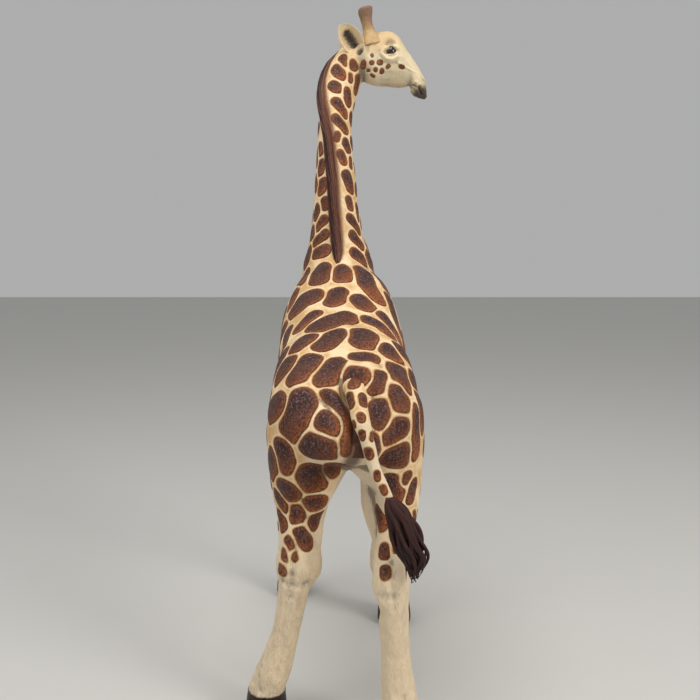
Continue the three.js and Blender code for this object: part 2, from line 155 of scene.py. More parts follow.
# Small brown spots on the cheek: middle line and reach.
CHEEK_SPOTS = (
    (((25, 847), (24, 843)), 4.0), (((36, 847), (37, 847)), 4.0), (((47, 847), (49, 847)), 4.2),
    (((59, 841), (61, 843)), 2.9), (((79, 843), (82, 842)), 3.1), (((36, 858), (37, 856)), 2.2),
    (((31, 837), (32, 837)), 2.8), (((42, 838), (42, 837)), 3.9), (((51, 837), (51, 835)), 3.7),
    (((36, 831), (39, 829)), 2.7),
)

# Spots on the tail's root and dock.
TAIL_SPOTS = (
    (((8, 438), (20, 438)), 5.5),
    (((3, 427), (4, 421)), 5.5), (((19, 427), (20, 423)), 5.5), (((16, 408), (16, 406)), 4.2),
    (((9, 401), (9, 398)), 2.6), (((17, 390), (17, 386)), 3.6), (((28, 388), (28, 384)), 2.4),
    (((24, 370), (25, 366)), 3.8), (((25, 345), (24, 340)), 3.4), (((34, 346), (34, 340)), 2.4),
    (((40, 330), (41, 326)), 3.0),
)

# Each modelling stroke: chart, path, reach, height (below zero cuts in).
BODY_STROKES = (
    ("rear", ((-6, 438), (-4, 428), (0, 415), (5, 403), (9, 392), (10, 378)), 7, -5.0),
    ("rear", ((27, 432), (30, 420), (32, 404), (33, 388)), 7, -3.2),
    ("rear", ((-24, 428), (-11, 418), (-4, 404), (-2, 385), (-3, 366)), 8, 2.4),
    ("rear", ((-34, 424), (-20, 412), (-8, 396), (-6, 372)), 5, -1.4),
    ("rear", ((-66, 434), (-72, 400), (-69, 360), (-62, 330)), 13, -2.6),
    ("rear", ((52, 446), (50, 420), (44, 394), (40, 372)), 10, -2.0),
    ("rear", ((-56, 345), (-57, 312), (-52, 290)), 8, -1.6),
    ("back", ((-4, 80), (-4, 0), (-2, -90), (2, -170)), 16, 1.8),
    ("rear", ((4, 449), (24, 449)), 19, 8.0),
    ("back", ((48, -112),), 30, 3.0), ("back", ((-50, -112),), 30, 3.0),
    ("back", ((-30, -150), (-44, -110)), 14, -1.4), ("back", ((30, -150), (42, -112)), 14, -1.4),
    ("flanks", ((150, 545), (118, 470), (112, 400)), 30, 3.5),
    ("flanks", ((96, 520), (78, 440), (84, 360)), 15, -3.4),
    ("flanks", ((-58, 440), (-66, 400)), 34, -4.0),
    ("flanks", ((172, 470), (160, 400), (150, 350)), 14, -2.6),
    ("flanks", ((108, 344),), 18, 3.0),
    ("left", ((-96, 385), (-92, 345)), 16, 3.0), ("right", ((-118, 385), (-126, 345)), 16, 3.0),
    ("flanks", ((40, 440), (20, 370)), 8, 1.0),
    ("flanks", ((18, 440), (-4, 370)), 8, 1.0),
    ("flanks", ((-6, 440), (-28, 376)), 8, 1.0),
)
LEG_STROKES = (
    ("near", ((-30, -172, 214), (-30, -172, 200)), 20, 4.6),
    ("near", ((-32, -172, 250), (-32, -172, 240)), 13, -2.4),
    ("near", ((-92, -165, 214), (-92, -165, 202)), 17, 3.0),
    ("rear", ((-76, 220), (-78, 204)), 9, 2.6), ("rear", ((-52, 226), (-46, 206)), 12, 3.4),
    ("rear", ((-59, 250), (-60, 236), (-65, 206)), 6, -2.6),
    ("rear", ((-65, 206), (-65, 194), (-66, 176)), 7, -2.6),
    ("rear", ((-80, 198), (-70, 193), (-58, 191), (-46, 194)), 8, -3.0),
    ("near", ((14, -185, 296), (18, -190, 270), (22, -195, 244), (26, -200, 215), (28, -202, 186)),
     34, -12.5),
    ("rear", ((-60, 186), (-66, 150), (-72, 110)), 5, 1.3),
    ("rear", ((-76, 190), (-78, 150), (-84, 110)), 5, 1.3),
    ("rear", ((64, 236), (62, 218)), 12, 4.2), ("rear", ((45, 230), (46, 210)), 9, 3.0),
    ("near", ((92, -190, 222),), 16, 1.6), ("rear", ((40, 200), (58, 200)), 8, -1.8),
    ("rear", ((54, 222), (60, 237)), 2.4, -1.5), ("rear", ((59, 220), (64, 232)), 2.2, -1.2),
    ("rear", ((53, 212), (54, 198), (54, 184)), 7, -2.2), ("rear", ((64, 190), (66, 150)), 8, -1.2),
    ("rear", ((-90, 200), (-86, 186)), 5, -2.0), ("rear", ((-104, 78), (-112, 70)), 4, -1.8),
    ("rear", ((50, 262), (51, 236)), 6, -1.8),
    ("rear", ((-116, 62), (-118, 48)), 10, 2.6), ("rear", ((-108, 64), (-106, 46)), 5, -2.4),
    ("rear", ((-84, 62), (-82, 46)), 9, 2.0), ("rear", ((78, 66), (80, 50)), 9, 2.2),
    ("rear", ((56, 66), (55, 50)), 9, 2.0), ("rear", ((67, 70), (67, 46)), 5, -2.2),
)

# Painted shadow in the cleft beside the tail and under it, on the rear chart.
CLEFT_SHADOW = ((10, 388), (9, 366), (5, 348), (-3, 338))
CLEFT_SHADOW_REACH = 14 * MM

# Muscle added inside the thighs before the castings are melted together: ends and radii.
THIGHS = (
    ((-12, -160, 334), 17, (-39, -158, 284), 16), ((18, -172, 338), 15, (34, -176, 300), 14),
    ((4, -168, 352), 16, (2, -120, 356), 18), ((3, -196, 384), 15, (4, -172, 352), 14),
)

# The head's side outline before the muzzle is drawn back: x, height of forehead and nose, of the jaw.
HEAD_PROFILE = (
    (44, 893, 818.5), (50, 896, 818), (60, 896.5, 817.5), (68, 895.5, 816.5), (79, 887, 815.5),
    (88.5, 875.5, 816), (94.5, 868, 818), (98, 864, 818), (101, 861, 812), (107, 853.5, 804),
    (112.5, 845, 801), (118, 837, 799.3), (124, 827, 798.3), (127, 812, 798.5),
)

# Modelling strokes on the head, made on both cheeks.
HEAD_STROKES = (
    (((50, 861), (55, 867), (62, 871.5), (69, 872), (74, 868)), 4.6, 2.8),
    (((52, 858), (58, 853), (66, 852), (73, 856)), 4.6, 3.0),
    (((58, 862.5), (64, 864.5), (70, 866)), 5.6, -5.4),
    (((48, 863), (55, 862)), 2.6, -2.4),
    (((54, 859.5), (62, 858), (71, 860.5)), 1.8, 1.8),
    (((54, 847.5), (62, 845.5), (72, 847.5)), 3.4, -2.0),
    (((56, 882), (70, 880)), 12, 0.6),
    (((30, 852), (42, 838), (40, 828)), 12, 1.8),
    (((54, 832), (80, 830), (96, 826)), 9, -0.9),
    (((30, 826), (50, 821), (80, 819), (92, 820)), 6, 0.7),
    (((80, 858), (98, 840), (108, 826)), 6, 1.0),
    (((97, 817), (102, 815.5), (107, 811), (111, 804), (113, 798)), 2.4, -3.6),
    (((102, 821), (109, 817), (114, 810), (117, 802)), 4.2, 2.6),
    (((98, 811), (104, 806), (108, 800)), 4.0, 2.4),
    (((113, 826), (117, 822)), 2.6, -3.6),
    (((110, 830), (118, 827)), 2.8, 1.8),
    (((30, 874), (29, 862), (25, 848), (21, 830)), 6, -1.8),
    (((74, 866), (84, 852)), 5, -1.0),
)

# ---------------------------------------------------------------- mesh arrays


def smoothstep(low, high, value):
    share = np.clip((value - low) / (high - low), 0.0, 1.0)
    return share * share * (3.0 - 2.0 * share)


def bell(value, middle, spread):
    return np.exp(-(((value - middle) / spread) ** 2))


def node_arrays(name):
    """Vertices and triangles of a CAD node."""
    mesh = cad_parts[name].data
    mesh.calc_loop_triangles()
    places = np.empty(len(mesh.vertices) * 3)
    mesh.vertices.foreach_get("co", places)
    corners = np.empty(len(mesh.loop_triangles) * 3, np.int32)
    mesh.loop_triangles.foreach_get("vertices", corners)
    return places.reshape(-1, 3), corners.reshape(-1, 3)


def joined(parts):
    """Several (vertices, faces) as one."""
    verts, faces, start = [], [], 0
    for places, corners in parts:
        verts.append(places)
        faces.append(corners + start)
        start += len(places)
    return np.vstack(verts), np.vstack(faces)


def new_mesh(name, verts, faces):
    """A mesh data block from arrays whose faces all have the same number of corners."""
    mesh = bpy.data.meshes.new(name)
    mesh.vertices.add(len(verts))
    mesh.vertices.foreach_set("co", verts.astype(np.float32).ravel())
    mesh.loops.add(faces.size)
    mesh.loops.foreach_set("vertex_index", faces.astype(np.int32).ravel())
    mesh.polygons.add(len(faces))
    mesh.polygons.foreach_set("loop_start", np.arange(0, faces.size, faces.shape[1], dtype=np.int32))
    mesh.update(calc_edges=True)
    mesh.validate()
    return mesh


def mesh_arrays(mesh):
    """Vertices and quads of an all-quad mesh."""
    places = np.empty(len(mesh.vertices) * 3)
    mesh.vertices.foreach_get("co", places)
    corners = np.empty(len(mesh.loops), np.int32)
    mesh.loops.foreach_get("vertex_index", corners)
    return places.reshape(-1, 3), corners.reshape(-1, 4)


def quad_edges(faces):
    """Each edge of the quads once."""
    pairs = np.vstack([faces[:, [0, 1]], faces[:, [1, 2]], faces[:, [2, 3]], faces[:, [3, 0]]])
    return np.unique(np.sort(pairs, axis=1), axis=0)


def islands(count, edges):
    """The lowest vertex that each vertex is joined to."""
    label = np.arange(count)
    while True:
        low = np.minimum(label[edges[:, 0]], label[edges[:, 1]])
        lowered = label.copy()
        np.minimum.at(lowered, edges[:, 0], low)
        np.minimum.at(lowered, edges[:, 1], low)
        lowered = lowered[lowered]
        if np.array_equal(lowered, label):
            return label
        label = lowered


def kept_faces(verts, faces, keep):
    """Only the faces whose vertices are all kept."""
    number = np.cumsum(keep) - 1
    return verts[keep], number[faces[keep[faces].all(axis=1)]]


def largest_island(verts, faces):
    """Only the biggest connected shell."""
    label = islands(len(verts), quad_edges(faces))
    return kept_faces(verts, faces, label == np.bincount(label).argmax())


def remeshed(verts, faces, voxel):
    """The outer shell of a closed form, rebuilt in even quads."""
    mesh = new_mesh("form", verts, faces)
    form = bpy.data.objects.new("form", mesh)
    bpy.context.scene.collection.objects.link(form)
    remesh = form.modifiers.new("even quads", "REMESH")
    remesh.mode = "VOXEL"
    remesh.voxel_size = voxel
    shaped = form.evaluated_get(bpy.context.evaluated_depsgraph_get()).to_mesh()
    even = largest_island(*mesh_arrays(shaped))
    bpy.data.objects.remove(form)
    bpy.data.meshes.remove(mesh)
    return even


def normals_of(verts, faces):
    """Unit normal at each vertex."""
    diagonals = np.cross(verts[faces[:, 2]] - verts[faces[:, 0]], verts[faces[:, 3]] - verts[faces[:, 1]])
    total = np.zeros_like(verts)
    for corner in range(4):
        for axis in range(3):
            total[:, axis] += np.bincount(faces[:, corner], diagonals[:, axis], len(verts))
    return total / np.maximum(np.linalg.norm(total, axis=1, keepdims=True), 1e-12)


def neighbour_mean(values, edges):
    """The mean of each vertex's neighbours."""
    count = len(values)
    degree = np.maximum(np.bincount(edges.ravel(), minlength=count), 1)
    columns = values.reshape(count, -1)
    total = np.empty_like(columns)
    for axis in range(columns.shape[1]):
        total[:, axis] = np.bincount(edges[:, 0], columns[edges[:, 1], axis], count)
        total[:, axis] += np.bincount(edges[:, 1], columns[edges[:, 0], axis], count)
    return (total / degree[:, None]).reshape(values.shape)


def relaxed(values, edges, weight, rounds):
    """Values drawn towards their neighbours, round after round."""
    share = np.asarray(weight)
    if share.ndim and values.ndim > 1:
        share = share[:, None]
    for _ in range(rounds):
        values = values + share * (neighbour_mean(values, edges) - values)
    return values


class Form:
    """A closed skin of quads, with its edges, normals and a tree to find places on it."""

    def __init__(self, verts, faces):
        self.verts = verts
        self.faces = faces
        self.edges = quad_edges(faces)
        self.refresh()

    def refresh(self):
        self.normals = normals_of(self.verts, self.faces)
        self.tree = BVHTree.FromPolygons(self.verts.tolist(), self.faces.tolist())

    def smooth(self, weight, rounds):
        self.verts = relaxed(self.verts, self.edges, weight, rounds)
        self.refresh()

    def place(self, chart, point):
        """The spot on the skin that a chart's point in millimetres stands for."""
        if chart == "near":
            return np.array(self.tree.find_nearest(Vector(point) * MM)[0])
        across, along = point[0] * MM, point[1] * MM
        start, heading = {
            "rear": ((across, -FAR, along), (0, 1, 0)),
            "far": ((across, FAR, along), (0, -1, 0)),
            "back": ((across, along, FAR), (0, 0, -1)),
            "right": ((FAR, across, along), (-1, 0, 0)),
            "left": ((-FAR, across, along), (1, 0, 0)),
        }[chart]
        spot = self.tree.ray_cast(Vector(start), Vector(heading))[0]
        if spot is None:
            spot = self.tree.find_nearest(Vector(start) + Vector(heading) * FAR)[0]
        return np.array(spot)

    def path(self, chart, points):
        """A chart's path laid on the skin."""
        return np.array([self.place(chart, point) for point in points])

    def press(self, path, reach, height):
        """Raises, or with a height below zero cuts, the skin along a path."""
        near, gap, _ = near_path(self.verts, path, reach * MM)
        swell = smoothstep(0, 1, 1 - gap / (reach * MM))
        self.verts[near] += self.normals[near] * (height * MM * swell)[:, None]


def near_path(verts, path, reach):
    """The vertices within reach of a path, how far they are, and the nearest places on it."""
    box = np.all((verts > path.min(0) - reach) & (verts < path.max(0) + reach), axis=1)
    near = np.flatnonzero(box)
    points = verts[near]
    gap = np.full(len(near), np.inf)
    place = np.zeros_like(points)
    for start, end in zip(path, np.vstack([path[1:], path[-1:]])):
        run = end - start
        share = np.clip((points - start) @ run / max(run @ run, 1e-12), 0, 1)
        foot = start + share[:, None] * run
        away = np.linalg.norm(points - foot, axis=1)
        closer = away < gap
        gap[closer] = away[closer]
        place[closer] = foot[closer]
    within = gap < reach
    return near[within], gap[within], place[within]

# ---------------------------------------------------------------- the hide's shape


POD_SIDES, POD_ROWS = 20, 14


def pod(start, wide, end, narrow):
    """A closed pod of triangles between two points in millimetres, with a radius at each end."""
    start, end = np.array(start, float) * MM, np.array(end, float) * MM
    axis = (end - start) / np.linalg.norm(end - start)
    across = np.cross(axis, (0.0, 1.0, 0.0))
    across /= np.linalg.norm(across)
    third = np.cross(axis, across)
    turn = np.linspace(0, math.tau, POD_SIDES, endpoint=False)
    verts = []
    for tilt in np.linspace(-math.pi / 2 + 0.02, math.pi / 2 - 0.02, POD_ROWS):
        centre, radius = (start, wide * MM) if tilt < 0 else (end, narrow * MM)
        ring = np.outer(np.cos(turn), across) + np.outer(np.sin(turn), third)
        verts.append(centre + radius * (math.sin(tilt) * axis + math.cos(tilt) * ring))
    faces = []
    for row in range(POD_ROWS - 1):
        for step in range(POD_SIDES):
            a, b = row * POD_SIDES + step, row * POD_SIDES + (step + 1) % POD_SIDES
            faces += [(a, b, b + POD_SIDES), (a, b + POD_SIDES, a + POD_SIDES)]
    last = (POD_ROWS - 1) * POD_SIDES
    for step in range(1, POD_SIDES - 1):
        faces += [(0, step + 1, step), (last, last + step, last + step + 1)]
    return np.vstack(verts), np.array(faces)


def pressed(form, strokes):
    """All strokes of a list, each laid on the skin as it is before the first."""
    laid = []
    for chart, points, reach, height in strokes:
        for side in ("left", "right") if chart == "flanks" else (chart,):
            laid.append((form.path(side, points), reach, height))
    for path, reach, height in laid:
        form.press(path, reach, height)
    form.refresh()


def both_cheeks(strokes):
    """Head strokes on the near side and, mirrored, on the far side."""
    return [(chart,) + tuple(stroke) for chart in ("rear", "far") for stroke in strokes]


ROUGH_VOXEL = 3 * MM
MELT_LOSS = 0.6 * MM        # what the smoothing takes off a limb


def melted_castings():
    """All castings as one skin, with the joints between trunk, limbs and neck melted together."""
    parts = [node_arrays(name) for name in CASTINGS] + [pod(*thigh) for thigh in THIGHS]
    form = Form(*remeshed(*joined(parts), ROUGH_VOXEL))
    height = form.verts[:, 2]
    trunk = smoothstep(HIND_SEAM - 0.015, HIND_SEAM + 0.05, height)
    trunk *= 1 - smoothstep(NECK_SEAM - 0.02, NECK_SEAM + 0.07, height)
    form.smooth(0.5, 5)
    form.smooth(0.5 * trunk, 30)
    form.verts += form.normals * MELT_LOSS
    form.refresh()
    pressed(form, BODY_STROKES)
    return form


MUZZLE_START = 70 * MM
MUZZLE_DRAWN_BACK = 0.13


def profiled(form):
    """Draws the head's forehead, nose and jaw to their side outline."""
    stations, tops, jaws = np.array(HEAD_PROFILE, float).T * MM
    x, y, z = form.verts.T
    middle = (np.abs(y - HEAD_PLANE) < 8 * MM) & (z > HEAD_SEAM)
    top, jaw = [], []
    for station in stations:
        near = middle & (np.abs(x - station) < 1.6 * MM)
        heights = z[near] if near.any() else [HEAD_SEAM, HEAD_SEAM + 0.02]
        top.append(max(heights))
        jaw.append(min(heights))
    now_top, now_jaw = np.interp(x, stations, top), np.interp(x, stations, jaw)
    share = (z - now_jaw) / np.maximum(now_top - now_jaw, 4 * MM)
    wanted = np.interp(x, stations, jaws) * (1 - share) + np.interp(x, stations, tops) * share
    weight = smoothstep(32 * MM, 48 * MM, x) * (z > HEAD_SEAM - 2 * MM)
    form.verts[:, 2] += (wanted - z) * weight
    ahead = np.maximum(form.verts[:, 0] - MUZZLE_START, 0)
    form.verts[:, 0] -= ahead * MUZZLE_DRAWN_BACK * smoothstep(0, 0.02, ahead)
    form.refresh()


def toes(form):
    """Splits each hoof into two toes, front and back, with a rim where the coat ends."""
    for leg in LEGS:
        low, high = corners_of(leg.replace("leg", "pad"))
        middle = (low + high) / 2
        near = np.flatnonzero(np.all((form.verts[:, :2] > low[:2] - 0.012)
                                     & (form.verts[:, :2] < high[:2] + 0.012), axis=1)
                              & (form.verts[:, 2] < 0.06))
        across = form.verts[near, 0] - middle[0]
        ahead = np.abs(form.verts[near, 1] - middle[1]) / (high[1] - low[1])
        height = form.verts[near, 2]
        cleft = bell(across, 0, 2.6 * MM) * smoothstep(0.1, 0.4, ahead)
        cleft *= 1 - smoothstep(0.026, 0.042, height)
        rim = bell(height, 0.036, 2.2 * MM) * 0.9 * MM
        level = form.normals[near] * [1, 1, 0]
        form.verts[near] += level * (rim - 6 * MM * cleft)[:, None]
    form.refresh()


def wrinkled(form):
    """Fine folds of cast hair down the lower legs."""
    low = np.flatnonzero((form.verts[:, 2] < 0.27) & (form.verts[:, 2] > 0.036))
    height = form.verts[low, 2]
    deep = smoothstep(0.27, 0.20, height) * smoothstep(0.036, 0.048, height)
    grain = [noise.fractal(Vector((x * 170, y * 170, z * 75)), 0.8, 2.1, 3) for x, y, z in form.verts[low]]
    form.verts[low] += form.normals[low] * (0.55 * MM * np.array(grain) * deep)[:, None]
    form.refresh()


# ---------------------------------------------------------------- the hide's paint

LINE = 4.0 * MM           # cream line between two patches
CORNER = 2.2 * MM         # how round a patch's corners are
SPREAD = 2.9              # millimetres a listed patch may fill beyond its reach, up to its neighbours
SPOT_LINE = 1.6 * MM      # the same on the cheek
BARE = -20.0              # millimetres from any patch
DEEPEST = 12              # millimetres into one that still make a difference


def soft_least(first, second, blend):
    """The smaller of two values, rounded where they cross."""
    return -blend * np.logaddexp(-first / blend, -second / blend)


def patch_field(form, patches, line=LINE):
    """How deep each vertex is in its patch, whose patch that is, and how far down and right in it."""
    count = len(form.verts)
    nearest = np.full(count, FAR)
    second = np.full(count, FAR)
    crowd = np.zeros(count)
    owner = np.full(count, -1)
    lean = np.zeros(count)
    for number, (path, reach) in enumerate(patches):
        near, gap, _ = near_path(form.verts, path, reach + 30 * MM)
        gap = gap - reach
        crowd[near] += np.exp(-gap / CORNER)
        closer = gap < nearest[near]
        ours = near[closer]
        second[near] = np.where(closer, nearest[near], np.minimum(second[near], gap))
        nearest[ours] = gap[closer]
        owner[ours] = number
        offset = form.verts[ours] - path.mean(axis=0)
        lean[ours] = (0.55 * offset[:, 0] - 0.8 * offset[:, 2] - 0.3 * offset[:, 1]) / (reach * 1.3)
    rest = np.maximum(crowd - np.exp(-nearest / CORNER), 1e-12)
    edge = (-CORNER * np.log(rest) - nearest) / 2 - line / 2
    depth = soft_least(-nearest, edge, 1.4 * MM)
    return depth, owner, np.clip(lean, -1.5, 1.5)


def patch_spacing(places):
    """How far apart the patches nobody set by hand stand: wide on the body, close on neck and legs."""
    height = places[:, 2]
    neck = smoothstep(NECK_SEAM - 0.06, NECK_SEAM + 0.05, height)
    leg = 1 - smoothstep(HIND_SEAM - 0.07, HIND_SEAM + 0.08, height)
    return (37 - 14 * neck - 20 * leg) * MM


def bare_ground(form):
    """How far each vertex is on the unpatterned belly, inner legs, lower legs, face and hooves."""
    x, y, z = form.verts.T
    hind = y < LEG_PARTING
    belly = smoothstep(0.55, 0.8, -form.normals[:, 2]) * (z < 0.40) * (z > 0.28)
    shin = 1 - smoothstep(np.where(hind, 0.235, 0.19), np.where(hind, 0.255, 0.21), z)
    middle = np.where(x < 0, -0.055, 0.058)
    inner = smoothstep(0.35, 0.7, form.normals[:, 0] * -np.sign(middle)) * (z < 0.36)
    face = smoothstep(0.012, 0.022, x) * (z > HEAD_SEAM)
    groin = hind * (x > 0) * (x < 0.034) * (z < 0.352) * 1.0
    return np.maximum.reduce([belly, shin, inner, face, groin])


def scattered_patches(form, laid):
    """Patches for the sides that no list covers, kept clear of each other and of the listed ones."""
    random = np.random.default_rng(SEED)
    depth, _, _ = patch_field(form, laid)
    free = (depth < -0.42 * patch_spacing(form.verts)) & (bare_ground(form) < 0.5)
    choice = random.permutation(np.flatnonzero(free))[:9000]
    spots = form.verts[choice]
    room = patch_spacing(spots)
    taken = np.empty((0, 3))
    patches = []
    mane = BVHTree.FromPolygons(*[part.tolist() for part in node_arrays("mane")])
    for spot, space in zip(spots, room):
        if mane.find_nearest(Vector(spot), 0.5 * space + 5 * MM)[0] is not None:
            continue
        if spot[2] > HEAD_SEAM + 0.035 and spot[0] > -5 * MM:
            continue
        if len(taken) and np.min(np.linalg.norm(taken - spot, axis=1)) < space:
            continue
        taken = np.vstack([taken, spot])
        run = random.normal(0, 0.2, 3) * space
        patches.append((np.array([spot - run, spot + run]), 0.5 * space))
    return patches


def patch_relief(depth, lean):
    """How far the paint stands up in a patch, with a groove round it and a ridge along the line."""
    relief = 0.75 * smoothstep(-0.6, 1.8, depth) + 0.45 * smoothstep(2, 9, depth)
    relief -= 0.48 * bell(depth, -0.5, 0.7) * (1 + 0.6 * lean)
    return relief + 0.38 * bell(depth, -2.3, 0.9)


MANE_RED_REACH = {"right": 10 * MM, "left": 4 * MM}


def mane_red_spread(places):
    """How strongly the mane's colour runs out over the skin beside it, widest on its right."""
    mane = BVHTree.FromPolygons(*[part.tolist() for part in node_arrays("mane")])
    shade = np.zeros(len(places))
    for vert in np.flatnonzero(places[:, 2] > NECK_SEAM - 20 * MM):
        beside, _, _, gap = mane.find_nearest(Vector(places[vert]), MANE_RED_REACH["right"])
        if beside is not None:
            reach = MANE_RED_REACH["right" if places[vert, 0] > beside.x else "left"]
            shade[vert] = 1 - min(gap / reach, 1)
    return shade


def painted_hide(form):
    """The patches' attributes on the skin, and their slight relief pressed into it."""
    laid = [(form.path(chart, points), (reach + SPREAD) * MM) for chart, points, reach in PATCHES]
    patches = laid + scattered_patches(form, laid)
    depth, owner, lean = patch_field(form, patches)
    spots = [(form.path(chart, points), reach * MM)
             for chart in ("rear", "far") for points, reach in CHEEK_SPOTS]
    spot_depth, spot_owner, spot_lean = patch_field(form, spots, SPOT_LINE)
    on_face = spot_depth > depth
    depth = np.where(on_face, spot_depth, depth) / MM
    owner = np.where(on_face, spot_owner + len(patches), owner)
    lean = np.where(on_face, spot_lean * 0.5 + 0.55, lean)
    tones = np.random.default_rng(SEED + 5).uniform(0, 1, len(patches) + len(spots) + 1)
    bare = bare_ground(form) * ~on_face * (owner >= len(laid))
    depth = np.where(bare > 0.5, np.minimum(depth, BARE), depth)
    depth = np.clip(depth, BARE, DEEPEST)

    smooth = form.verts.copy()
    height = smooth[:, 2]
    small = np.where(height > HEAD_SEAM, 0.45, 1.0) * np.where(height < 0.25, 0.6, 1)
    form.verts = form.verts + form.normals * (patch_relief(depth, lean) * small * MM)[:, None]
    hollow = hollows(form, smooth)
    shaded = bell(smooth[:, 1], LOIN_SEAM, 0.9 * MM) * smoothstep(0.40, 0.43, height)
    form.verts -= form.normals * (1.1 * MM * shaded)[:, None]
    # Painted shadow in the cleft beside and under the tail, kept with the seam's dark line.
    near, gap, _ = near_path(smooth, form.path("rear", CLEFT_SHADOW), CLEFT_SHADOW_REACH)
    shaded[near] = 1.5 * smoothstep(0, 0.7, 1 - gap / CLEFT_SHADOW_REACH)
    return {"patch": depth, "tone": tones[owner], "lean": lean, "hollow": hollow, "loin": shaded,
            "pale": bare_ground(form), "reddened": mane_red_spread(smooth)}


def hollows(form, smooth):
    """How far each vertex lies in a recess (above zero) or on a crest (below zero), about -1 to 1."""
    length = np.mean(np.linalg.norm(smooth[form.edges[:4000, 0]] - smooth[form.edges[:4000, 1]], axis=1))
    wide = relaxed(smooth, form.edges, 0.9, int(40 * (1.5 * MM / length) ** 2))
    sunk = np.einsum("ij,ij->i", wide - smooth, form.normals)
    return np.clip(relaxed(sunk / (1.2 * MM), form.edges, 0.5, 3), -1, 1)


# ---------------------------------------------------------------- pieces


def set_attributes(mesh, fields):
    for name, values in fields.items():
        layer = mesh.attributes.new(name, "FLOAT", "POINT")
        layer.data.foreach_set("value", values.astype(np.float32))


def put(name, mesh, nodes, slot, material):
    """A finished piece that rides on the statue and stands for its CAD nodes."""
    mesh.polygons.foreach_set("use_smooth", np.ones(len(mesh.polygons), bool))
    mesh.materials.append(material)
    piece = bpy.data.objects.new(name, mesh)
    bpy.context.scene.collection.objects.link(piece)
    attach(piece, "root")
    if nodes:
        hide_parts(*nodes)
    return piece


def cut_piece(name, form, fields, planes):
    """The part of the skin on the inner side of some planes, with flat ends where they cut it."""
    side = np.ones(len(form.verts), bool)
    for point, normal in planes:
        side &= (form.verts - point) @ np.array(normal, float) < 4 * MM
    number = np.cumsum(side) - 1
    kept = side[form.faces].all(axis=1)
    mesh = new_mesh(name, form.verts[side], number[form.faces[kept]])
    set_attributes(mesh, {key: values[side] for key, values in fields.items()})
    solid = bmesh.new()
    solid.from_mesh(mesh)
    for point, normal in planes:
        geometry = solid.verts[:] + solid.edges[:] + solid.faces[:]
        bmesh.ops.bisect_plane(solid, geom=geometry, plane_co=point, plane_no=normal, clear_outer=True)
        rim = [edge for edge in solid.edges if edge.is_boundary
               and all(abs((np.array(vert.co) - point) @ np.array(normal, float)) < 0.01 * MM
                       for vert in edge.verts)]
        for edge in rim:
            edge.smooth = False
        bmesh.ops.contextual_create(solid, geom=rim)
    loose = [vert for vert in solid.verts if not vert.link_faces]
    bmesh.ops.delete(solid, geom=loose, context="VERTS")
    solid.to_mesh(mesh)
    solid.free()
    return mesh


def point_at(x=0.0, y=0.0, z=0.0):
    return np.array([x, y, z])


UP, DOWN, AHEAD, BEHIND, LEFT, RIGHT = (
    (0, 0, 1), (0, 0, -1), (0, 1, 0), (0, -1, 0), (-1, 0, 0), (1, 0, 0))

# Each casting's part of the skin: planes with their outer side's direction.
BODY_CUTS = {
    "rear_body_casting": ((point_at(y=LOIN_SEAM), AHEAD), (point_at(z=HIND_SEAM), DOWN)),
    "front_body_casting": ((point_at(y=LOIN_SEAM), BEHIND), (point_at(z=FORE_SEAM), DOWN),
                           (point_at(z=NECK_SEAM), UP)),
    "neck_casting": ((point_at(z=NECK_SEAM), DOWN), (point_at(z=HEAD_SEAM), UP)),
}
for leg_name in LEGS:
    hind = "hind" in leg_name
    BODY_CUTS[leg_name] = (
        (point_at(z=HIND_SEAM if hind else FORE_SEAM), UP),
        (point_at(y=LEG_PARTING), AHEAD if hind else BEHIND),
        (point_at(), RIGHT if "left" in leg_name else LEFT),
    )

# ---------------------------------------------------------------- shader maths


class Paint:
    """A material being mixed. Its values are sockets that take Python's arithmetic."""

    def __init__(self, name):
        self.material = bpy.data.materials.new(name)
        self.material.use_nodes = True
        self.tree = self.material.node_tree
        self.shader = self.tree.nodes["Principled BSDF"]

    def node(self, kind, settings=None, inputs=None, output=0):
        """Adds a node: its settings first, then the values or links of its sockets."""
        made = self.tree.nodes.new(kind)
        for key, value in (settings or {}).items():
            if key == "stops":
                ramp = made.color_ramp
                while len(ramp.elements) < len(value):
                    ramp.elements.new(0.5)
                for element, (place, colour) in zip(ramp.elements, value):
                    element.position = place
                    element.color = (*colour, 1.0)
            else:
                setattr(made, key, value)
        for key, value in (inputs or {}).items():
            self.plug(made.inputs[key], value)
        return Value(self, made.outputs[output])

    def plug(self, socket, value):
        if isinstance(value, Value):
            self.tree.links.new(value.socket, socket)
        elif isinstance(value, tuple) and len(value) == 3 and socket.type == "RGBA":
            socket.default_value = (*value, 1.0)
        else:
            socket.default_value = value

    def field(self, name):
        """A value stored on the mesh."""
        settings = {"attribute_name": name, "attribute_type": "GEOMETRY"}
        return self.node("ShaderNodeAttribute", settings, output=2)

    def noise(self, scale, detail=3.0, roughness=0.55, stretch=(1, 1, 1), turn=(0, 0, 0)):
        """Grain fixed to the object, stretched along chosen axes."""
        place = self.node("ShaderNodeTexCoord", output=3)
        place = self.node("ShaderNodeMapping", inputs={"Vector": place, "Scale": stretch, "Rotation": turn})
        return self.node("ShaderNodeTexNoise", inputs={
            "Vector": place, "Scale": scale, "Detail": detail, "Roughness": roughness})

    def step(self, low, high, value):
        """0 below low, 1 above high, smooth between."""
        return self.node("ShaderNodeMapRange", {"interpolation_type": "SMOOTHSTEP"}, {
            "Value": value, "From Min": low, "From Max": high})

    def mix(self, share, under, over, blend="MIX"):
        """One colour over another."""
        return self.node("ShaderNodeMix", {"data_type": "RGBA", "blend_type": blend}, {
            0: share, 6: under, 7: over}, output=2)

    def bump(self, height, distance, strength=1.0, under=None):
        inputs = {"Height": height, "Distance": distance, "Strength": strength}
        if under is not None:
            inputs["Normal"] = under
        return self.node("ShaderNodeBump", inputs=inputs)

    def finish(self, **sockets):
        """Sets the shader's own sockets and gives the material."""
        for key, value in sockets.items():
            self.plug(self.shader.inputs[key.replace("_", " ")], value)
        return self.material


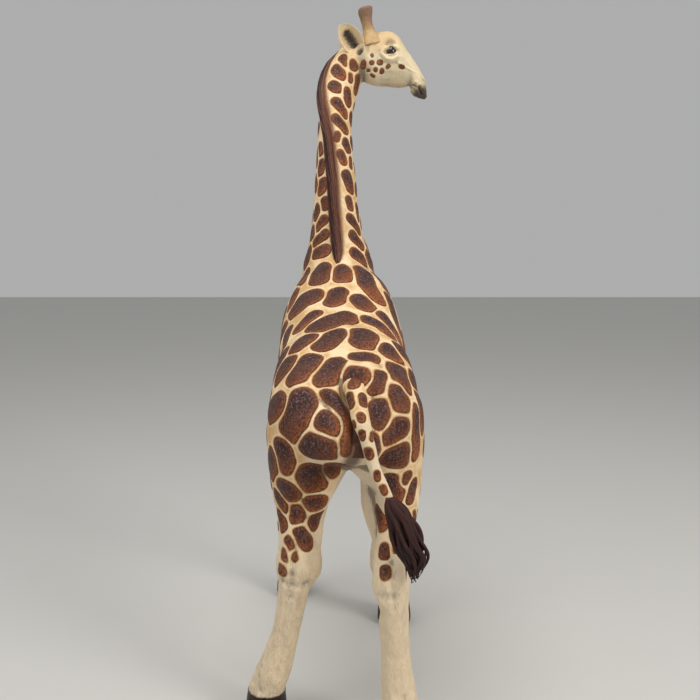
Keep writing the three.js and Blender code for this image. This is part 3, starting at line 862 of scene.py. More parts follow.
class Value:
    """A socket that adds Math nodes for Python's operators."""

    def __init__(self, paint, socket):
        self.paint = paint
        self.socket = socket

    def math(self, operation, first, second):
        return self.paint.node("ShaderNodeMath", {"operation": operation}, {0: first, 1: second})

    def __add__(self, other):
        return self.math("ADD", self, other)

    def __radd__(self, other):
        return self.math("ADD", other, self)

    def __sub__(self, other):
        return self.math("SUBTRACT", self, other)

    def __rsub__(self, other):
        return self.math("SUBTRACT", other, self)

    def __mul__(self, other):
        return self.math("MULTIPLY", self, other)

    def __rmul__(self, other):
        return self.math("MULTIPLY", other, self)

    def clamped(self):
        return self.math("MINIMUM", self.math("MAXIMUM", self, 0.0), 1.0)


# ---------------------------------------------------------------- colours and finishes


def rgb(name, default, description):
    return bpy.props.FloatVectorProperty(
        name=name, description=description, default=default, subtype="COLOR", size=3, min=0, max=1)


class CoatColours(bpy.types.PropertyGroup):
    """Paints of the coat, face and legs."""

    core: rgb("Patch core", (0.062, 0.020, 0.013), "Dark brown in the middle of a patch")
    # Grey-violet stipple, laid on thickest over each patch's upper side as a painted highlight.
    frost: rgb("Patch frost", (0.215, 0.145, 0.150), "Grey-violet stipple brushed over the patch's top")
    ember: rgb("Patch ember", (0.40, 0.115, 0.028), "Orange-brown at the patch's lower edge")
    line: rgb("Line", (0.66, 0.40, 0.16), "Cream between the patches")
    # The crest colour is a painted highlight along the raised lines and on proud spots; on the ears it is a
    # speck colour.
    crest: rgb("Crest", (0.92, 0.70, 0.43), "Light dry brush on raised lines")
    outline: rgb("Outline", (0.075, 0.028, 0.014), "Dark wash round a patch")
    shin: rgb("Lower leg", (0.75, 0.61, 0.43), "Pale cream of lower legs and belly")
    face: rgb("Face", (0.66, 0.56, 0.37), "Cream of the face")
    brow: rgb("Forehead", (0.52, 0.34, 0.15), "Tan of the forehead and horn roots")
    # The recess wash is partly the statue's wash and partly painted shade; it also paints the shade under
    # the jaw and behind the cheek.
    grime: rgb("Recess wash", (0.115, 0.083, 0.058), "Grey-brown wash lying in the hollows")
    hoof: rgb("Hoof", (0.020, 0.009, 0.008), "Blackish brown of the hooves")


HORN_FOOT = (0.040, 0.884)
HORN_TAN = 27                     # how far the horn's tan spreads over the brow, in millimetres
EYE_PLACE = (0.0645, 0.8635)
EYE_OPENING = (5.6, 3.7)          # half the width and height of the lids' dark edge, in millimetres
SOOT = (0.016, 0.006, 0.006)      # darkest stipple in a patch
BONE = (0.86, 0.76, 0.60)         # palest hair of the lower legs
CHALK = (0.80, 0.73, 0.56)        # palest cream of the face
LIP = (0.045, 0.028, 0.022)
DUST_AND_SHADE = (0.27, 0.195, 0.135)       # grey-brown rubbed over the lower legs, laid thicker on the left leg as painted shade
MANE_RED = (0.15, 0.048, 0.026)   # the mane's colour run out over the skin
LID = (0.030, 0.020, 0.016)


class Coat(Paint):
    """The coat's paint: its layers share these grains, places and values stored on the skin."""

    def __init__(self, colours):
        super().__init__("painted coat")
        self.tints = {key: tuple(getattr(colours, key)) for key in CoatColours.__annotations__}
        place = self.node("ShaderNodeTexCoord", output=3)
        parted = self.node("ShaderNodeSeparateXYZ", inputs={"Vector": place})
        self.across = Value(self, parted.socket.node.outputs["X"])
        self.height = Value(self, parted.socket.node.outputs["Z"])
        self.ragged = self.noise(330, 4, 0.6)
        self.grit = self.noise(430, 5, 0.75)
        self.speck = self.noise(900, 4, 0.7)
        self.hair = self.noise(430, 4, 0.7, stretch=(1, 1, 0.20))
        self.wrinkle = self.noise(150, 4, 0.7, stretch=(1, 1, 0.35))
        self.cloud = self.noise(38, 3)
        self.depth = self.field("patch")
        self.edge = self.depth + (self.ragged - 0.5) * 1.4
        self.lean = self.field("lean") + (self.cloud - 0.5) * 0.9
        self.inner = self.step(0.2, 6.0, self.edge)

    def wavering(self, value, reach):
        """A value whose contours wander by a reach from cloud to cloud."""
        return value + (self.cloud - 0.5) * reach

    def around(self, middle, size_x, size_z):
        """The square of how many sizes away, across and up, from a place on the head."""
        ahead = (self.across - middle[0]) * (1000 / size_x)
        above = (self.height - middle[1]) * (1000 / size_z)
        return ahead * ahead + above * above

    def patch(self):
        """Dark core, orange lower edge, black stipple, and grey-violet stipple that is strongest on the
        upper side as a painted highlight.
        """
        low_side = self.step(-0.5, 1.0, self.lean)
        warm = (low_side * 0.62 + (1 - self.inner) * 0.62).clamped()
        share = (warm * (0.6 + self.field("tone") * 0.5)).clamped()
        colour = self.mix(share, self.tints["core"], self.tints["ember"])
        colour = self.mix(self.step(0.56, 0.40, self.grit) * 0.75, colour, SOOT)
        stipple = self.step(0.50, 0.60, self.grit * 0.55 + self.hair * 0.45)
        # Painted highlight: the stipple is laid on most thickly on the patch's upper side.
        stipple_and_highlight_share = stipple * (0.18 + self.step(0.7, -0.7, self.lean) * 0.82) * self.inner
        colour = self.mix((stipple_and_highlight_share * 0.8).clamped(), colour, self.tints["frost"])
        flecks = self.step(0.58, 0.66, self.grit) * (1 - self.inner * 0.5) * 0.5
        return self.mix(flecks, colour, self.tints["ember"])

    def line(self):
        """Cream between the patches, with a painted highlight along its middle and orange where a patch
        begins.
        """
        colour = self.mix(self.step(0.38, 0.68, self.cloud), self.tints["line"], self.tints["crest"])
        # Painted highlight along the middle of the raised line.
        colour = self.mix(bell_of(self, self.depth, -2.4, 1.1) * 0.8, colour, self.tints["crest"])
        return self.mix(self.step(-1.7, -0.2, self.edge) * 0.6, colour, self.tints["ember"])

    def ground(self):
        """What lies between the patches: cream lines above, pale hair on belly and lower legs."""
        shin = self.mix(self.step(0.42, 0.62, self.hair) * 0.45, self.tints["shin"], BONE)
        low = (self.field("pale") + self.step(0.30, 0.235, self.wavering(self.height, 0.03))).clamped()
        return self.mix(low * self.step(-1.5, -3.5, self.depth), self.line(), shin)

    def lips(self):
        """1 on the muzzle's dark tip."""
        low = self.height - (self.across - 0.105) * 0.3 + (self.ragged - 0.5) * 0.006
        return self.step(0.820, 0.807, low) * self.step(0.094, 0.103, self.across)

    def face(self):
        """Cream cheeks, tan forehead and horn roots, painted shade under the jaw and dark lips."""
        brow = self.step(0.868, 0.892, self.wavering(self.height, 0.020))
        colour = self.mix(self.step(0.35, 0.65, self.cloud) * 0.35, self.tints["face"], CHALK)
        colour = self.mix(brow * 0.75, colour, self.tints["brow"])
        rooted = self.step(1.3, 0.3, self.wavering(self.around(HORN_FOOT, HORN_TAN, HORN_TAN), 0.5))
        colour = self.mix(rooted * 0.8, colour, self.tints["brow"])
        nose = self.step(0.862, 0.892, self.height + (self.across - 0.078) * 0.85)
        colour = self.mix(nose * 0.45, colour, self.tints["brow"])
        # Painted shade along the underside of the jaw.
        under = self.step(0.832, 0.818, self.wavering(self.height, 0.008)) * 0.4
        colour = self.mix(under, colour, self.tints["grime"])
        return self.mix(self.lips() * 0.85, colour, LIP)

    def on_head(self):
        """1 on the face, 0 on the neck, with a soft edge down behind the cheek."""
        cheek = self.step(HEAD_SEAM + 0.012, HEAD_SEAM + 0.045, self.height)
        cheek = cheek * self.step(0.012, 0.040, self.wavering(self.across, 0.014))
        muzzle = self.step(0.045, 0.055, self.across)
        return (self.step(0.70, 0.71, self.height) * (cheek + muzzle)).clamped()

    def nape(self, ground):
        """Painted shadow down the edge of the cheek, below the ear."""
        behind = bell_of(self, self.wavering(self.across, 0.01), 0.022, 0.012)
        behind = behind * self.step(0.89, 0.86, self.height) * self.step(0.80, 0.83, self.height)
        return self.mix(behind * 0.6, ground, self.tints["grime"])

    def hide(self, on_head):
        """Patches over their ground, with a dark outline."""
        ground = self.nape(self.mix(on_head, self.ground(), self.face()))
        colour = self.mix(self.step(-0.5, 0.15, self.edge), ground, self.patch())
        outline = self.step(-1.3, -0.4, self.edge) * self.step(1.1, 0.2, self.edge)
        strength = 0.45 + self.step(-0.4, 0.7, self.lean) * 0.45
        return self.mix(outline * strength, colour, self.tints["outline"])

    def dirt(self, on_head):
        """How much wash and painted shade lie in the hollows."""
        lower = self.step(0.26, 0.21, self.height)
        sunk = self.field("hollow") + (self.hair - 0.5) * 1.1 + (self.grit - 0.5) * 0.7
        clean = 1 - on_head * 0.85 - lower * 0.6
        return self.step(0.15, 0.75, sunk) * self.step(2.0, -1.0, self.edge) * clean

    def worn(self, colour, washed_and_shaded):
        """Wash and painted shade in the hollows, streaks of hair, rubbed lower legs with painted shade on
        the left one, and a painted highlight on what stands proud.
        """
        # Wash and painted shade in the hollows.
        colour = self.mix(washed_and_shaded * 0.75, colour, self.tints["grime"])
        bare = self.step(0.5, -2, self.depth)
        colour = self.mix(self.step(0.55, 0.68, self.hair) * bare * 0.22, colour, self.tints["grime"])
        lower = self.step(0.25, 0.20, self.height)
        # Painted shade: the lower left leg gets more of the grey-brown.
        left = lower * self.step(0.012, -0.012, self.across)
        rubbed = self.step(0.46, 0.56, self.wrinkle * 0.45 + self.hair * 0.3 + self.grit * 0.25) * lower
        colour = self.mix(rubbed * (0.20 + left * 0.22), colour, DUST_AND_SHADE)
        # Painted highlight on what stands proud.
        proud = self.step(0.2, 0.75, (self.grit - 0.5) * 1.2 - self.field("hollow"))
        proud_highlight = proud * self.step(0.5, -1, self.depth) * (1 - self.lips())
        return self.mix(proud_highlight * 0.34, colour, self.tints["crest"])

    def details(self, colour, on_head):
        """The loin seam's dark line with the painted shadow in the tail's cleft, the mane's red edge and
        the eye's dark lids.
        """
        # Dark line of the loin seam, and painted shadow in the tail's cleft.
        colour = self.mix(self.field("loin") * 0.55, colour, self.tints["outline"])
        red = self.wavering(self.field("reddened") + (self.grit - 0.5) * 0.5, 0.3)
        colour = self.mix(self.step(0.25, 0.85, red) * 0.85, colour, MANE_RED)
        lid = self.step(1.9, 1.1, self.around(EYE_PLACE, *EYE_OPENING)) * on_head
        return self.mix(lid * 0.85, colour, LID)

    def grain(self):
        """Folds on the lower legs, strands of hair and grit."""
        folds = self.bump(self.wrinkle, 0.004, self.step(0.27, 0.20, self.height) * 0.8)
        strands = self.bump(self.hair, 0.0012, 0.8, folds)
        return self.bump(self.grit, 0.0010, 0.75, strands)


def coat_material(colours):
    """The hide's paint: patches, lines, face, shins and hooves, with wash and painted shade in the hollows.
    """
    coat = Coat(colours)
    on_head = coat.on_head()
    washed_and_shaded = coat.dirt(on_head)
    colour = coat.worn(coat.hide(on_head), washed_and_shaded)
    colour = coat.details(colour, on_head)
    hoof = coat.step(0.040, 0.0365, coat.height + (coat.ragged - 0.5) * 0.003)
    colour = coat.mix(hoof, colour, coat.tints["hoof"])
    rough = 0.62 + (coat.speck - 0.5) * 0.25 - coat.inner * 0.08 - hoof * 0.2 + washed_and_shaded * 0.1
    return coat.finish(Base_Color=colour, Roughness=rough, Normal=coat.grain(), Specular_IOR_Level=0.28)


def bell_of(paint, value, middle, spread):
    """1 at the middle, falling to 0 a spread away on both sides."""
    return paint.step(middle - spread, middle, value) * paint.step(middle + spread, middle, value)

# ---------------------------------------------------------------- the hide's operator


BODY_VOXEL = 1.66 * MM
HEAD_VOXEL = 0.9 * MM


class STATUE_OT_hide(bpy.types.Operator):
    """Models and paints the eight castings' skin"""

    bl_idname = "statue.hide"
    bl_label = "Hide"

    def execute(self, context):
        coat = coat_material(context.scene.statue_coat)
        rough = melted_castings()
        body = Form(*remeshed(rough.verts, rough.faces, BODY_VOXEL))
        pressed(body, LEG_STROKES)
        toes(body)
        wrinkled(body)
        fields = painted_hide(body)
        for name, planes in BODY_CUTS.items():
            mesh = cut_piece(name, body, fields, planes)
            put("coat_" + name, mesh, (name,), "leg_coat" if name in LEGS else "patched_coat", coat)
        upper = kept_faces(rough.verts, rough.faces, rough.verts[:, 2] > HEAD_SEAM - 0.02)
        shaped = Form(*upper)
        profiled(shaped)
        head = Form(*remeshed(*capped(shaped.verts, shaped.faces), HEAD_VOXEL))
        pressed(head, both_cheeks(HEAD_STROKES))
        fields = painted_hide(head)
        mesh = cut_piece("head_casting", head, fields, ((point_at(z=HEAD_SEAM), DOWN),))
        put("coat_head_casting", mesh, ("head_casting",), "head_coat", coat)
        return {"FINISHED"}


def capped(verts, faces):
    """Closes the open rim of a skin cut level, with a narrow fan of quads to its middle."""
    pairs = np.vstack([faces[:, [0, 1]], faces[:, [1, 2]], faces[:, [2, 3]], faces[:, [3, 0]]])
    _, first, counts = np.unique(np.sort(pairs, axis=1), axis=0, return_index=True, return_counts=True)
    rim = pairs[first[counts == 1]]
    middle = verts[rim.ravel()].mean(axis=0)
    inner = middle + (verts - middle) * 0.02
    number = {vert: len(verts) + index for index, vert in enumerate(np.unique(rim))}
    inner = inner[np.unique(rim)]
    sides = np.array([[b, a, number[a], number[b]] for a, b in rim])
    return np.vstack([verts, inner]), np.vstack([faces, sides])

# ---------------------------------------------------------------- ears, horns and eyes


def tube_mesh(name, rings):
    """A closed skin through rings of the same number of points, ends drawn together."""
    count = len(rings[0])
    verts = np.vstack(rings)
    faces = []
    for ring in range(len(rings) - 1):
        for step in range(count):
            turn = (step + 1) % count
            faces.append((ring * count + step, ring * count + turn,
                          (ring + 1) * count + turn, (ring + 1) * count + step))
    mesh = new_mesh(name, verts, np.array(faces))
    solid = bmesh.new()
    solid.from_mesh(mesh)
    bmesh.ops.contextual_create(solid, geom=[edge for edge in solid.edges if edge.is_boundary
                                             and edge.verts[0].index < count])
    bmesh.ops.contextual_create(solid, geom=[edge for edge in solid.edges if edge.is_boundary])
    bmesh.ops.recalc_face_normals(solid, faces=solid.faces[:])
    solid.to_mesh(mesh)
    solid.free()
    return mesh


def smooth_run(stations, count):
    """Stations of numbers as a smooth run of a given count."""
    stations = np.array(stations, float)
    given = np.arange(len(stations))
    wanted = np.linspace(0, len(stations) - 1, count)
    slopes = np.gradient(stations, axis=0)
    left = np.clip(np.floor(wanted).astype(int), 0, len(stations) - 2)
    t = (wanted - given[left])[:, None]
    return ((2 * t**3 - 3 * t**2 + 1) * stations[left] + (t**3 - 2 * t**2 + t) * slopes[left]
            + (3 * t**2 - 2 * t**3) * stations[left + 1] + (t**3 - t**2) * slopes[left + 1])


def ear_mesh(side):
    """A cupped leaf, its hollow turned outwards: root on the skull, tip back and up."""
    low, high = corners_of("right_ear")
    span = high - low
    root = low + span * [0.84, 0.92, 0.10]
    tip = low + span * [-0.06, 0.15, 0.90]
    axis = tip - root
    across = np.cross(axis / np.linalg.norm(axis), (0, -1, 0))
    across /= np.linalg.norm(across)
    out = np.cross(across, axis / np.linalg.norm(axis))
    if out[1] > 0:
        out = -out
    # how far along, half width, sideways drift, depth of the cup, thickness of the wall
    run = smooth_run([
        (0.00, 6.0, 0.0, 2.0, 2.6), (0.14, 11.5, 0.6, 6.0, 2.6), (0.34, 16.2, 1.4, 8.0, 2.4),
        (0.58, 17.2, 2.2, 7.5, 2.3), (0.80, 13.6, 2.2, 5.4, 2.2), (0.93, 8.2, 1.2, 2.8, 2.0),
        (1.00, 2.4, 0.2, 0.9, 1.6)], 44)
    ring_size = 36
    rings, cups = [], []
    for along, half, drift, cup, wall in run:
        middle = root + axis * along + across * drift * MM
        ring, hollow = [], []
        for step in range(ring_size):
            inside = step < ring_size // 2
            share = (step + 0.5) / (ring_size // 2)
            side_way = -1 + 2 * share if inside else 3 - 2 * share
            bow = 1 - side_way**2
            curl = 0.35 * max(0.0, abs(side_way) - 0.75) * half
            depth = -cup * bow + curl
            lift = wall / 2 * math.sqrt(max(0.0, 1 - abs(side_way) ** 5))
            depth += lift if inside else -lift
            ring.append(middle + (across * side_way * half + out * depth) * MM)
            hollow.append(bow * inside * smoothstep(0.0, 0.12, along) * (1 - smoothstep(0.72, 0.97, along)))
        rings.append(np.array(ring))
        cups.append(hollow)
    mesh = tube_mesh(side + "_ear", rings)
    set_attributes(mesh, {"cup": np.array(cups).ravel()})
    if side == "left":
        mirror(mesh)
    return mesh


def mirror(mesh):
    """Turns a piece of the near side into its twin on the far side of the head."""
    for vert in mesh.vertices:
        vert.co.y = 2 * HEAD_PLANE - vert.co.y
    mesh.flip_normals()


HORN_ROOTED = 1.5 * MM     # how deep the horn's foot runs under the skin


def horn_mesh(side):
    """An ossicone: a stout stalk with a flared, rounded, hair-tufted tip."""
    low, high = corners_of("right_ossicone")
    span = high - low
    root = low + span * [0.80, 0.85, -0.16]
    tip = low + span * [0.43, 0.46, 0.98]
    rings = []
    run = smooth_run([
        (0.00, 17.5), (0.12, 15.0), (0.24, 11.8), (0.36, 8.9), (0.54, 7.9), (0.70, 8.6), (0.84, 10.2),
        (0.93, 10.6), (0.98, 8.6), (1.0, 4.5)], 48)
    bend = np.array([-2.2, 0, 0]) * MM
    for along, radius in run:
        middle = root + (tip - root) * along + bend * math.sin(math.pi * along)
        turn = np.linspace(0, math.tau, 40, endpoint=False)
        knobs = 1 + 0.02 * np.sin(turn * 9 + along * 7) + 0.015 * np.sin(turn * 5 - along * 31)
        round_way = np.stack([np.cos(turn) * 0.98, np.sin(turn) * 0.84, 0.22 * np.cos(turn)], axis=1)
        rings.append(middle + round_way * (radius * knobs * MM)[:, None])
    skin = bpy.data.objects["coat_head_casting"]
    for ring, (along, _) in zip(rings, run):
        sunk = 1 - smoothstep(0.04, 0.26, along)
        if sunk > 0:
            for point in ring:
                _, place, normal, _ = skin.closest_point_on_mesh(Vector(point))
                outside = (Vector(point) - place).dot(normal) + HORN_ROOTED
                point -= np.array(normal) * max(outside, 0) * sunk
    mesh = tube_mesh(side + "_ossicone", rings)
    if side == "left":
        mirror(mesh)
    return mesh


EYE_DROP = 3.6 * MM        # how far below its CAD ball the eye sits
EYE_SHOWS = 2.4 * MM       # how far the ball stands out of the bottom of its socket


def eye_mesh(side):
    """A glossy ball, set so that it just fills the opening between the lids."""
    low, high = corners_of(side + "_eye")
    middle = (low + high) / 2
    radius = (high - low)[0] / 2
    skin = bpy.data.objects["coat_head_casting"]
    outward = -1 if side == "right" else 1
    middle[2] -= EYE_DROP
    opening = Vector((middle[0], middle[1] + outward * 0.05, middle[2]))
    floor = skin.ray_cast(opening, Vector((0, -outward, 0)))[1]
    middle[1] = floor.y - outward * (radius - EYE_SHOWS)
    rings = []
    for rise in np.linspace(0.02, math.pi - 0.02, 28):
        turn = np.linspace(0, math.tau, 40, endpoint=False)
        level = np.full(40, -np.cos(rise))
        ring = np.stack([np.sin(rise) * np.cos(turn), level, np.sin(rise) * np.sin(turn)], 1)
        rings.append(middle + ring * radius)
    return tube_mesh(side + "_eye", rings)


def ear_material(colours):
    paint = Paint("painted ear")
    speck = paint.noise(700, 4, 0.65)
    hair = paint.noise(520, 3, 0.6, stretch=(0.5, 1, 0.5))
    cup = paint.field("cup") + (hair - 0.5) * 0.30
    colour = paint.mix(paint.step(0.4, 0.65, speck), tuple(colours.face), tuple(colours.crest))
    colour = paint.mix(paint.step(0.28, 0.72, cup) * 0.6, colour, tuple(colours.brow))
    colour = paint.mix(paint.step(0.68, 1.0, cup), colour, (0.022, 0.011, 0.008))
    grain = paint.bump(hair, 0.0007, 0.6)
    return paint.finish(Base_Color=colour, Roughness=0.58, Normal=grain)


def horn_material(colours):
    paint = Paint("painted ossicone")
    place = paint.node("ShaderNodeTexCoord", output=3)
    height = paint.node("ShaderNodeSeparateXYZ", inputs={"Vector": place}, output=2)
    low, high = corners_of("right_ossicone")
    share = (height - float(low[2])) * float(1 / (high[2] - low[2]))
    cloud = paint.noise(90, 4)
    hair = paint.noise(600, 3, 0.6, stretch=(1, 1, 0.25))
    upper = paint.step(0.1, 0.75, share + (cloud - 0.5) * 0.5)
    colour = paint.mix(upper, tuple(colours.brow), (0.27, 0.15, 0.085))
    crown = paint.step(0.72, 0.98, share + (cloud - 0.5) * 0.3)
    colour = paint.mix(crown * 0.6, colour, (0.20, 0.125, 0.09))
    colour = paint.mix(paint.step(0.45, 0.7, hair) * 0.35, colour, (0.10, 0.05, 0.03))
    grain = paint.bump(hair, 0.0008, 0.6)
    return paint.finish(Base_Color=colour, Roughness=0.6, Normal=grain)


def eye_material():
    paint = Paint("eye enamel")
    cloud = paint.noise(160, 2)
    colour = paint.mix(paint.step(0.45, 0.7, cloud), (0.010, 0.006, 0.005), (0.030, 0.016, 0.010))
    ripple = paint.bump(cloud, 0.0001, 0.2)
    return paint.finish(Base_Color=colour, Roughness=0.16 + cloud * 0.06, Normal=ripple, Coat_Weight=0.3)


class STATUE_OT_head_pieces(bpy.types.Operator):
    """Makes the ears, ossicones and eyes"""

    bl_idname = "statue.head_pieces"
    bl_label = "Ears, ossicones and eyes"

    def execute(self, context):
        colours = context.scene.statue_coat
        ear, horn, eye = ear_material(colours), horn_material(colours), eye_material()
        for side in ("left", "right"):
            put("pinna_" + side, ear_mesh(side), (side + "_ear",), "head_coat", ear)
            put("horn_" + side, horn_mesh(side), (side + "_ossicone",), "head_coat", horn)
            put("eyeball_" + side, eye_mesh(side), (side + "_eye",), "eye_gloss", eye)
        return {"FINISHED"}

# ---------------------------------------------------------------- mane, tail and tuft


class HairColours(bpy.types.PropertyGroup):
    """Paints of the mane, the tail and its tuft."""

    mane: rgb("Mane", (0.085, 0.026, 0.014), "Dark red-brown of the mane")
    # Painted highlight along the mane's ridge.
    mane_crest: rgb("Mane crest", (0.21, 0.085, 0.05), "Dry brush along the mane's ridge")
    # Dark between the mane's locks, and painted shade down the mane's left side.
    mane_dark: rgb("Mane hollows", (0.024, 0.009, 0.008), "Wash between the mane's locks")
    tuft: rgb("Tuft", (0.048, 0.014, 0.010), "Purple-black of the tuft")
    # Painted highlight on the tuft's proud strands.
    tuft_light: rgb("Tuft strands", (0.15, 0.045, 0.028), "Dry brush on the tuft's strands")


HAIR_VOXEL = 1.1 * MM
TAIL_SUNK = 8 * MM          # how far the dock's root goes into the rump
MANE_RUNS_ON = np.array((1.5, -5.5, -10)) * MM   # from the CAD mane's lower end to the locks' end


def grown(node, voxel, rounds):
    """A CAD node's skin in even quads, with its edges eased."""
    form = Form(*remeshed(*node_arrays(node), voxel))
    form.smooth(0.5, rounds)
    return form


def mane_mesh():
    """The mane's ridge, parted into slanting locks."""
    form = grown("mane", HAIR_VOXEL, 7)
    form.verts += np.outer(smoothstep(0.625, 0.572, form.verts[:, 2]), MANE_RUNS_ON)
    form.refresh()
    x, y, z = form.verts.T
    random = np.random.default_rng(SEED + 1)
    wander = random.uniform(0, math.tau, 4)
    run = (z - corners_of("mane")[0][2]) / MM
    side = form.normals[:, 0] * 0.8 + form.normals[:, 1] * 0.3
    lock = run / 16 + 9.0 * side + 0.9 * np.sin(run / 26 + wander[0]) + 0.5 * np.sin(run / 12 + wander[1])
    comb = np.sin(lock * 1.9) + 0.7 * np.sin(lock * 3.7 + wander[2]) * np.sin(run / 11 + wander[3])
    upright = 1 - np.abs(form.normals[:, 2])
    form.verts += form.normals * ((0.30 * comb + 0.9) * upright * MM)[:, None]
    form.refresh()
    mesh = new_mesh("mane", form.verts, form.faces)
    wide = relaxed(form.verts, form.edges, 0.9, 45)
    proud = np.einsum("ij,ij->i", form.verts - wide, form.normals) / (1.1 * MM)
    # Painted shade: the mane's left-facing side is darkened.
    shaded = smoothstep(0.35, -0.45, form.normals[:, 0])
    set_attributes(mesh, {"crest": np.clip(proud - 0.35, -1, 1.2), "comb": comb, "shaded": shaded})
    return mesh


def tail_mesh():
    """The tail's dock: a slim taper with a boned upper side and small spots."""
    form = grown("tail_dock", HAIR_VOXEL, 8)
    sunk = smoothstep(0.395, 0.438, form.verts[:, 2])
    form.verts[:, 1] += TAIL_SUNK * sunk
    form.refresh()
    spots = [(form.path("rear", points), (reach + 1.2) * MM) for points, reach in TAIL_SPOTS]
    depth, owner, lean = patch_field(form, spots, 3.0 * MM)
    depth = np.clip(depth / MM, BARE, 12)
    random = np.random.default_rng(SEED + 2)
    tones = random.uniform(0, 1, len(spots) + 1)
    z = form.verts[:, 2] / MM
    knuckles = 0.35 * np.sin(z / 5.2) * smoothstep(330, 400, z)
    form.verts += form.normals * ((0.45 * smoothstep(-0.6, 1.6, depth) + knuckles) * MM)[:, None]
    mesh = new_mesh("tail", form.verts, form.faces)
    zero = np.zeros(len(form.verts))
    set_attributes(mesh, {"patch": depth, "tone": tones[owner], "lean": lean, "hollow": zero, "loin": zero,
                          "pale": 1 - smoothstep(385, 415, z), "reddened": zero})
    return mesh


LOCK_STEPS = 60
LOCK_SIDES = 8
LOCK_VOXEL = 0.7 * MM

# The tuft's middle line: along it, share of the CAD tuft's box in x, y and z, and half width in mm.
TUFT_GUIDE = (
    (0.26, 0.55, 0.93, 4.5), (0.36, 0.50, 0.84, 9.5), (0.50, 0.48, 0.68, 13.5),
    (0.66, 0.46, 0.46, 15.0), (0.78, 0.48, 0.28, 12.5), (0.82, 0.52, 0.12, 7.5),
    (0.78, 0.56, -0.01, 2.5),
)


def lock_rings(guide, layer, turn, random):
    """One wavy tapering lock of the tuft, as rings from its root to its tip."""
    low, high = corners_of("tail_tuft")
    length = 1.0 - 0.16 * layer * random.uniform(0, 1.3)
    phase = random.uniform(0, math.tau)
    wave = random.uniform(1.4, 2.6)
    swing = random.uniform(1.0, 2.8)
    flare = random.uniform(0.84, 1.16)
    thick = random.uniform(1.6, 3.2) * (1.6 if layer == 0 else 1)
    ways = np.linspace(0, math.tau, LOCK_SIDES, endpoint=False)
    ring = np.stack([np.cos(ways), np.sin(ways) * 0.8, np.zeros(LOCK_SIDES)], 1)
    rings = []
    for step in range(LOCK_STEPS):
        t = step / (LOCK_STEPS - 1) * length
        at = t * (LOCK_STEPS - 1)
        base = guide[int(at)]
        base = base + (guide[min(int(at) + 1, LOCK_STEPS - 1)] - base) * (at - int(at))
        wide = base[3] * flare
        twist = turn + 0.8 * t + 0.25 * math.sin(phase + t * 7)
        ripple = swing * (1 + t) * math.sin(phase + t * wave * math.tau) * smoothstep(0.1, 0.4, t)
        middle = low + (high - low) * base[:3] + np.array([
            math.cos(twist) * layer * wide + ripple * 0.8,
            math.sin(twist) * layer * wide * 0.62 + ripple * 0.4, ripple * 0.3]) * MM
        taper = 1 - smoothstep(0.55, 1.0, t / length) * 0.86
        rings.append(middle + ring * thick * (0.55 + 0.45 * smoothstep(0, 0.25, t)) * taper * MM)
    return rings


def lock_arrays(rings):
    """A lock's rings as one closed skin of quads, its ends drawn to a point."""
    ends = [ring.mean(axis=0)[None].repeat(LOCK_SIDES, 0) for ring in (rings[0], rings[-1])]
    count = len(rings)
    order = [count] + list(range(count)) + [count + 1]
    faces = []
    for ring, after in zip(order, order[1:]):
        for step in range(LOCK_SIDES):
            turn = (step + 1) % LOCK_SIDES
            faces.append((after * LOCK_SIDES + step, after * LOCK_SIDES + turn,
                          ring * LOCK_SIDES + turn, ring * LOCK_SIDES + step))
    return np.vstack(rings + ends), np.array(faces)


def tuft_mesh():
    """The tuft: locks that part at the root and gather in a curl at the tip."""
    guide = smooth_run(TUFT_GUIDE, LOCK_STEPS)
    random = np.random.default_rng(SEED + 3)
    locks = [(0.0, 0.0)]
    for layer, count in ((0.38, 6), (0.72, 12), (0.98, 19)):
        locks += [(layer, turn) for turn in np.linspace(0, math.tau, count, endpoint=False) + layer * 5]
    parts = [lock_arrays(lock_rings(guide, layer, turn, random)) for layer, turn in locks]
    form = Form(*remeshed(*joined(parts), LOCK_VOXEL))
    form.smooth(0.4, 1)
    wide = relaxed(form.verts, form.edges, 0.9, 24)
    crest = np.einsum("ij,ij->i", form.verts - wide, form.normals) / (0.9 * MM)
    root = smoothstep(0.245, 0.32, form.verts[:, 2])
    mesh = new_mesh("tuft", form.verts, form.faces)
    # The tuft is darker away from its root.
    set_attributes(mesh, {"crest": np.clip(crest, -1, 1), "comb": np.zeros(len(form.verts)),
                          "shaded": 0.6 - 0.6 * root})
    return mesh


def hair_material(name, base, dark, light, roughness):
    """Modelled hair: darker between the locks, with painted shade on the mane's left side and a darker tuft
    tip, and a painted highlight where the locks stand proud.
    """
    paint = Paint(name)
    strand = paint.noise(480, 4, 0.65, stretch=(1, 1, 0.16))
    speck = paint.noise(900, 3)
    crest = paint.field("crest") + (strand - 0.5) * 0.9
    comb = paint.field("comb")
    shaded = paint.field("shaded")
    hollow = paint.step(0.30, -0.45, crest * 0.6 + comb * 0.35)
    # Darker between the locks, with painted shade on the mane's left side and a darker tuft tip.
    colour = paint.mix((hollow + shaded * 0.75).clamped(), base, dark)
    # Painted highlight where the locks stand proud.
    proud = paint.step(0.55, 1.05, crest + comb * 0.12 + (speck - 0.5) * 0.3 - shaded * 0.3)
    colour = paint.mix(proud * 0.6, colour, light)
    grain = paint.bump(strand, 0.0009, 0.7)
    return paint.finish(Base_Color=colour, Roughness=roughness + (speck - 0.5) * 0.2, Normal=grain,
                        Specular_IOR_Level=0.22)


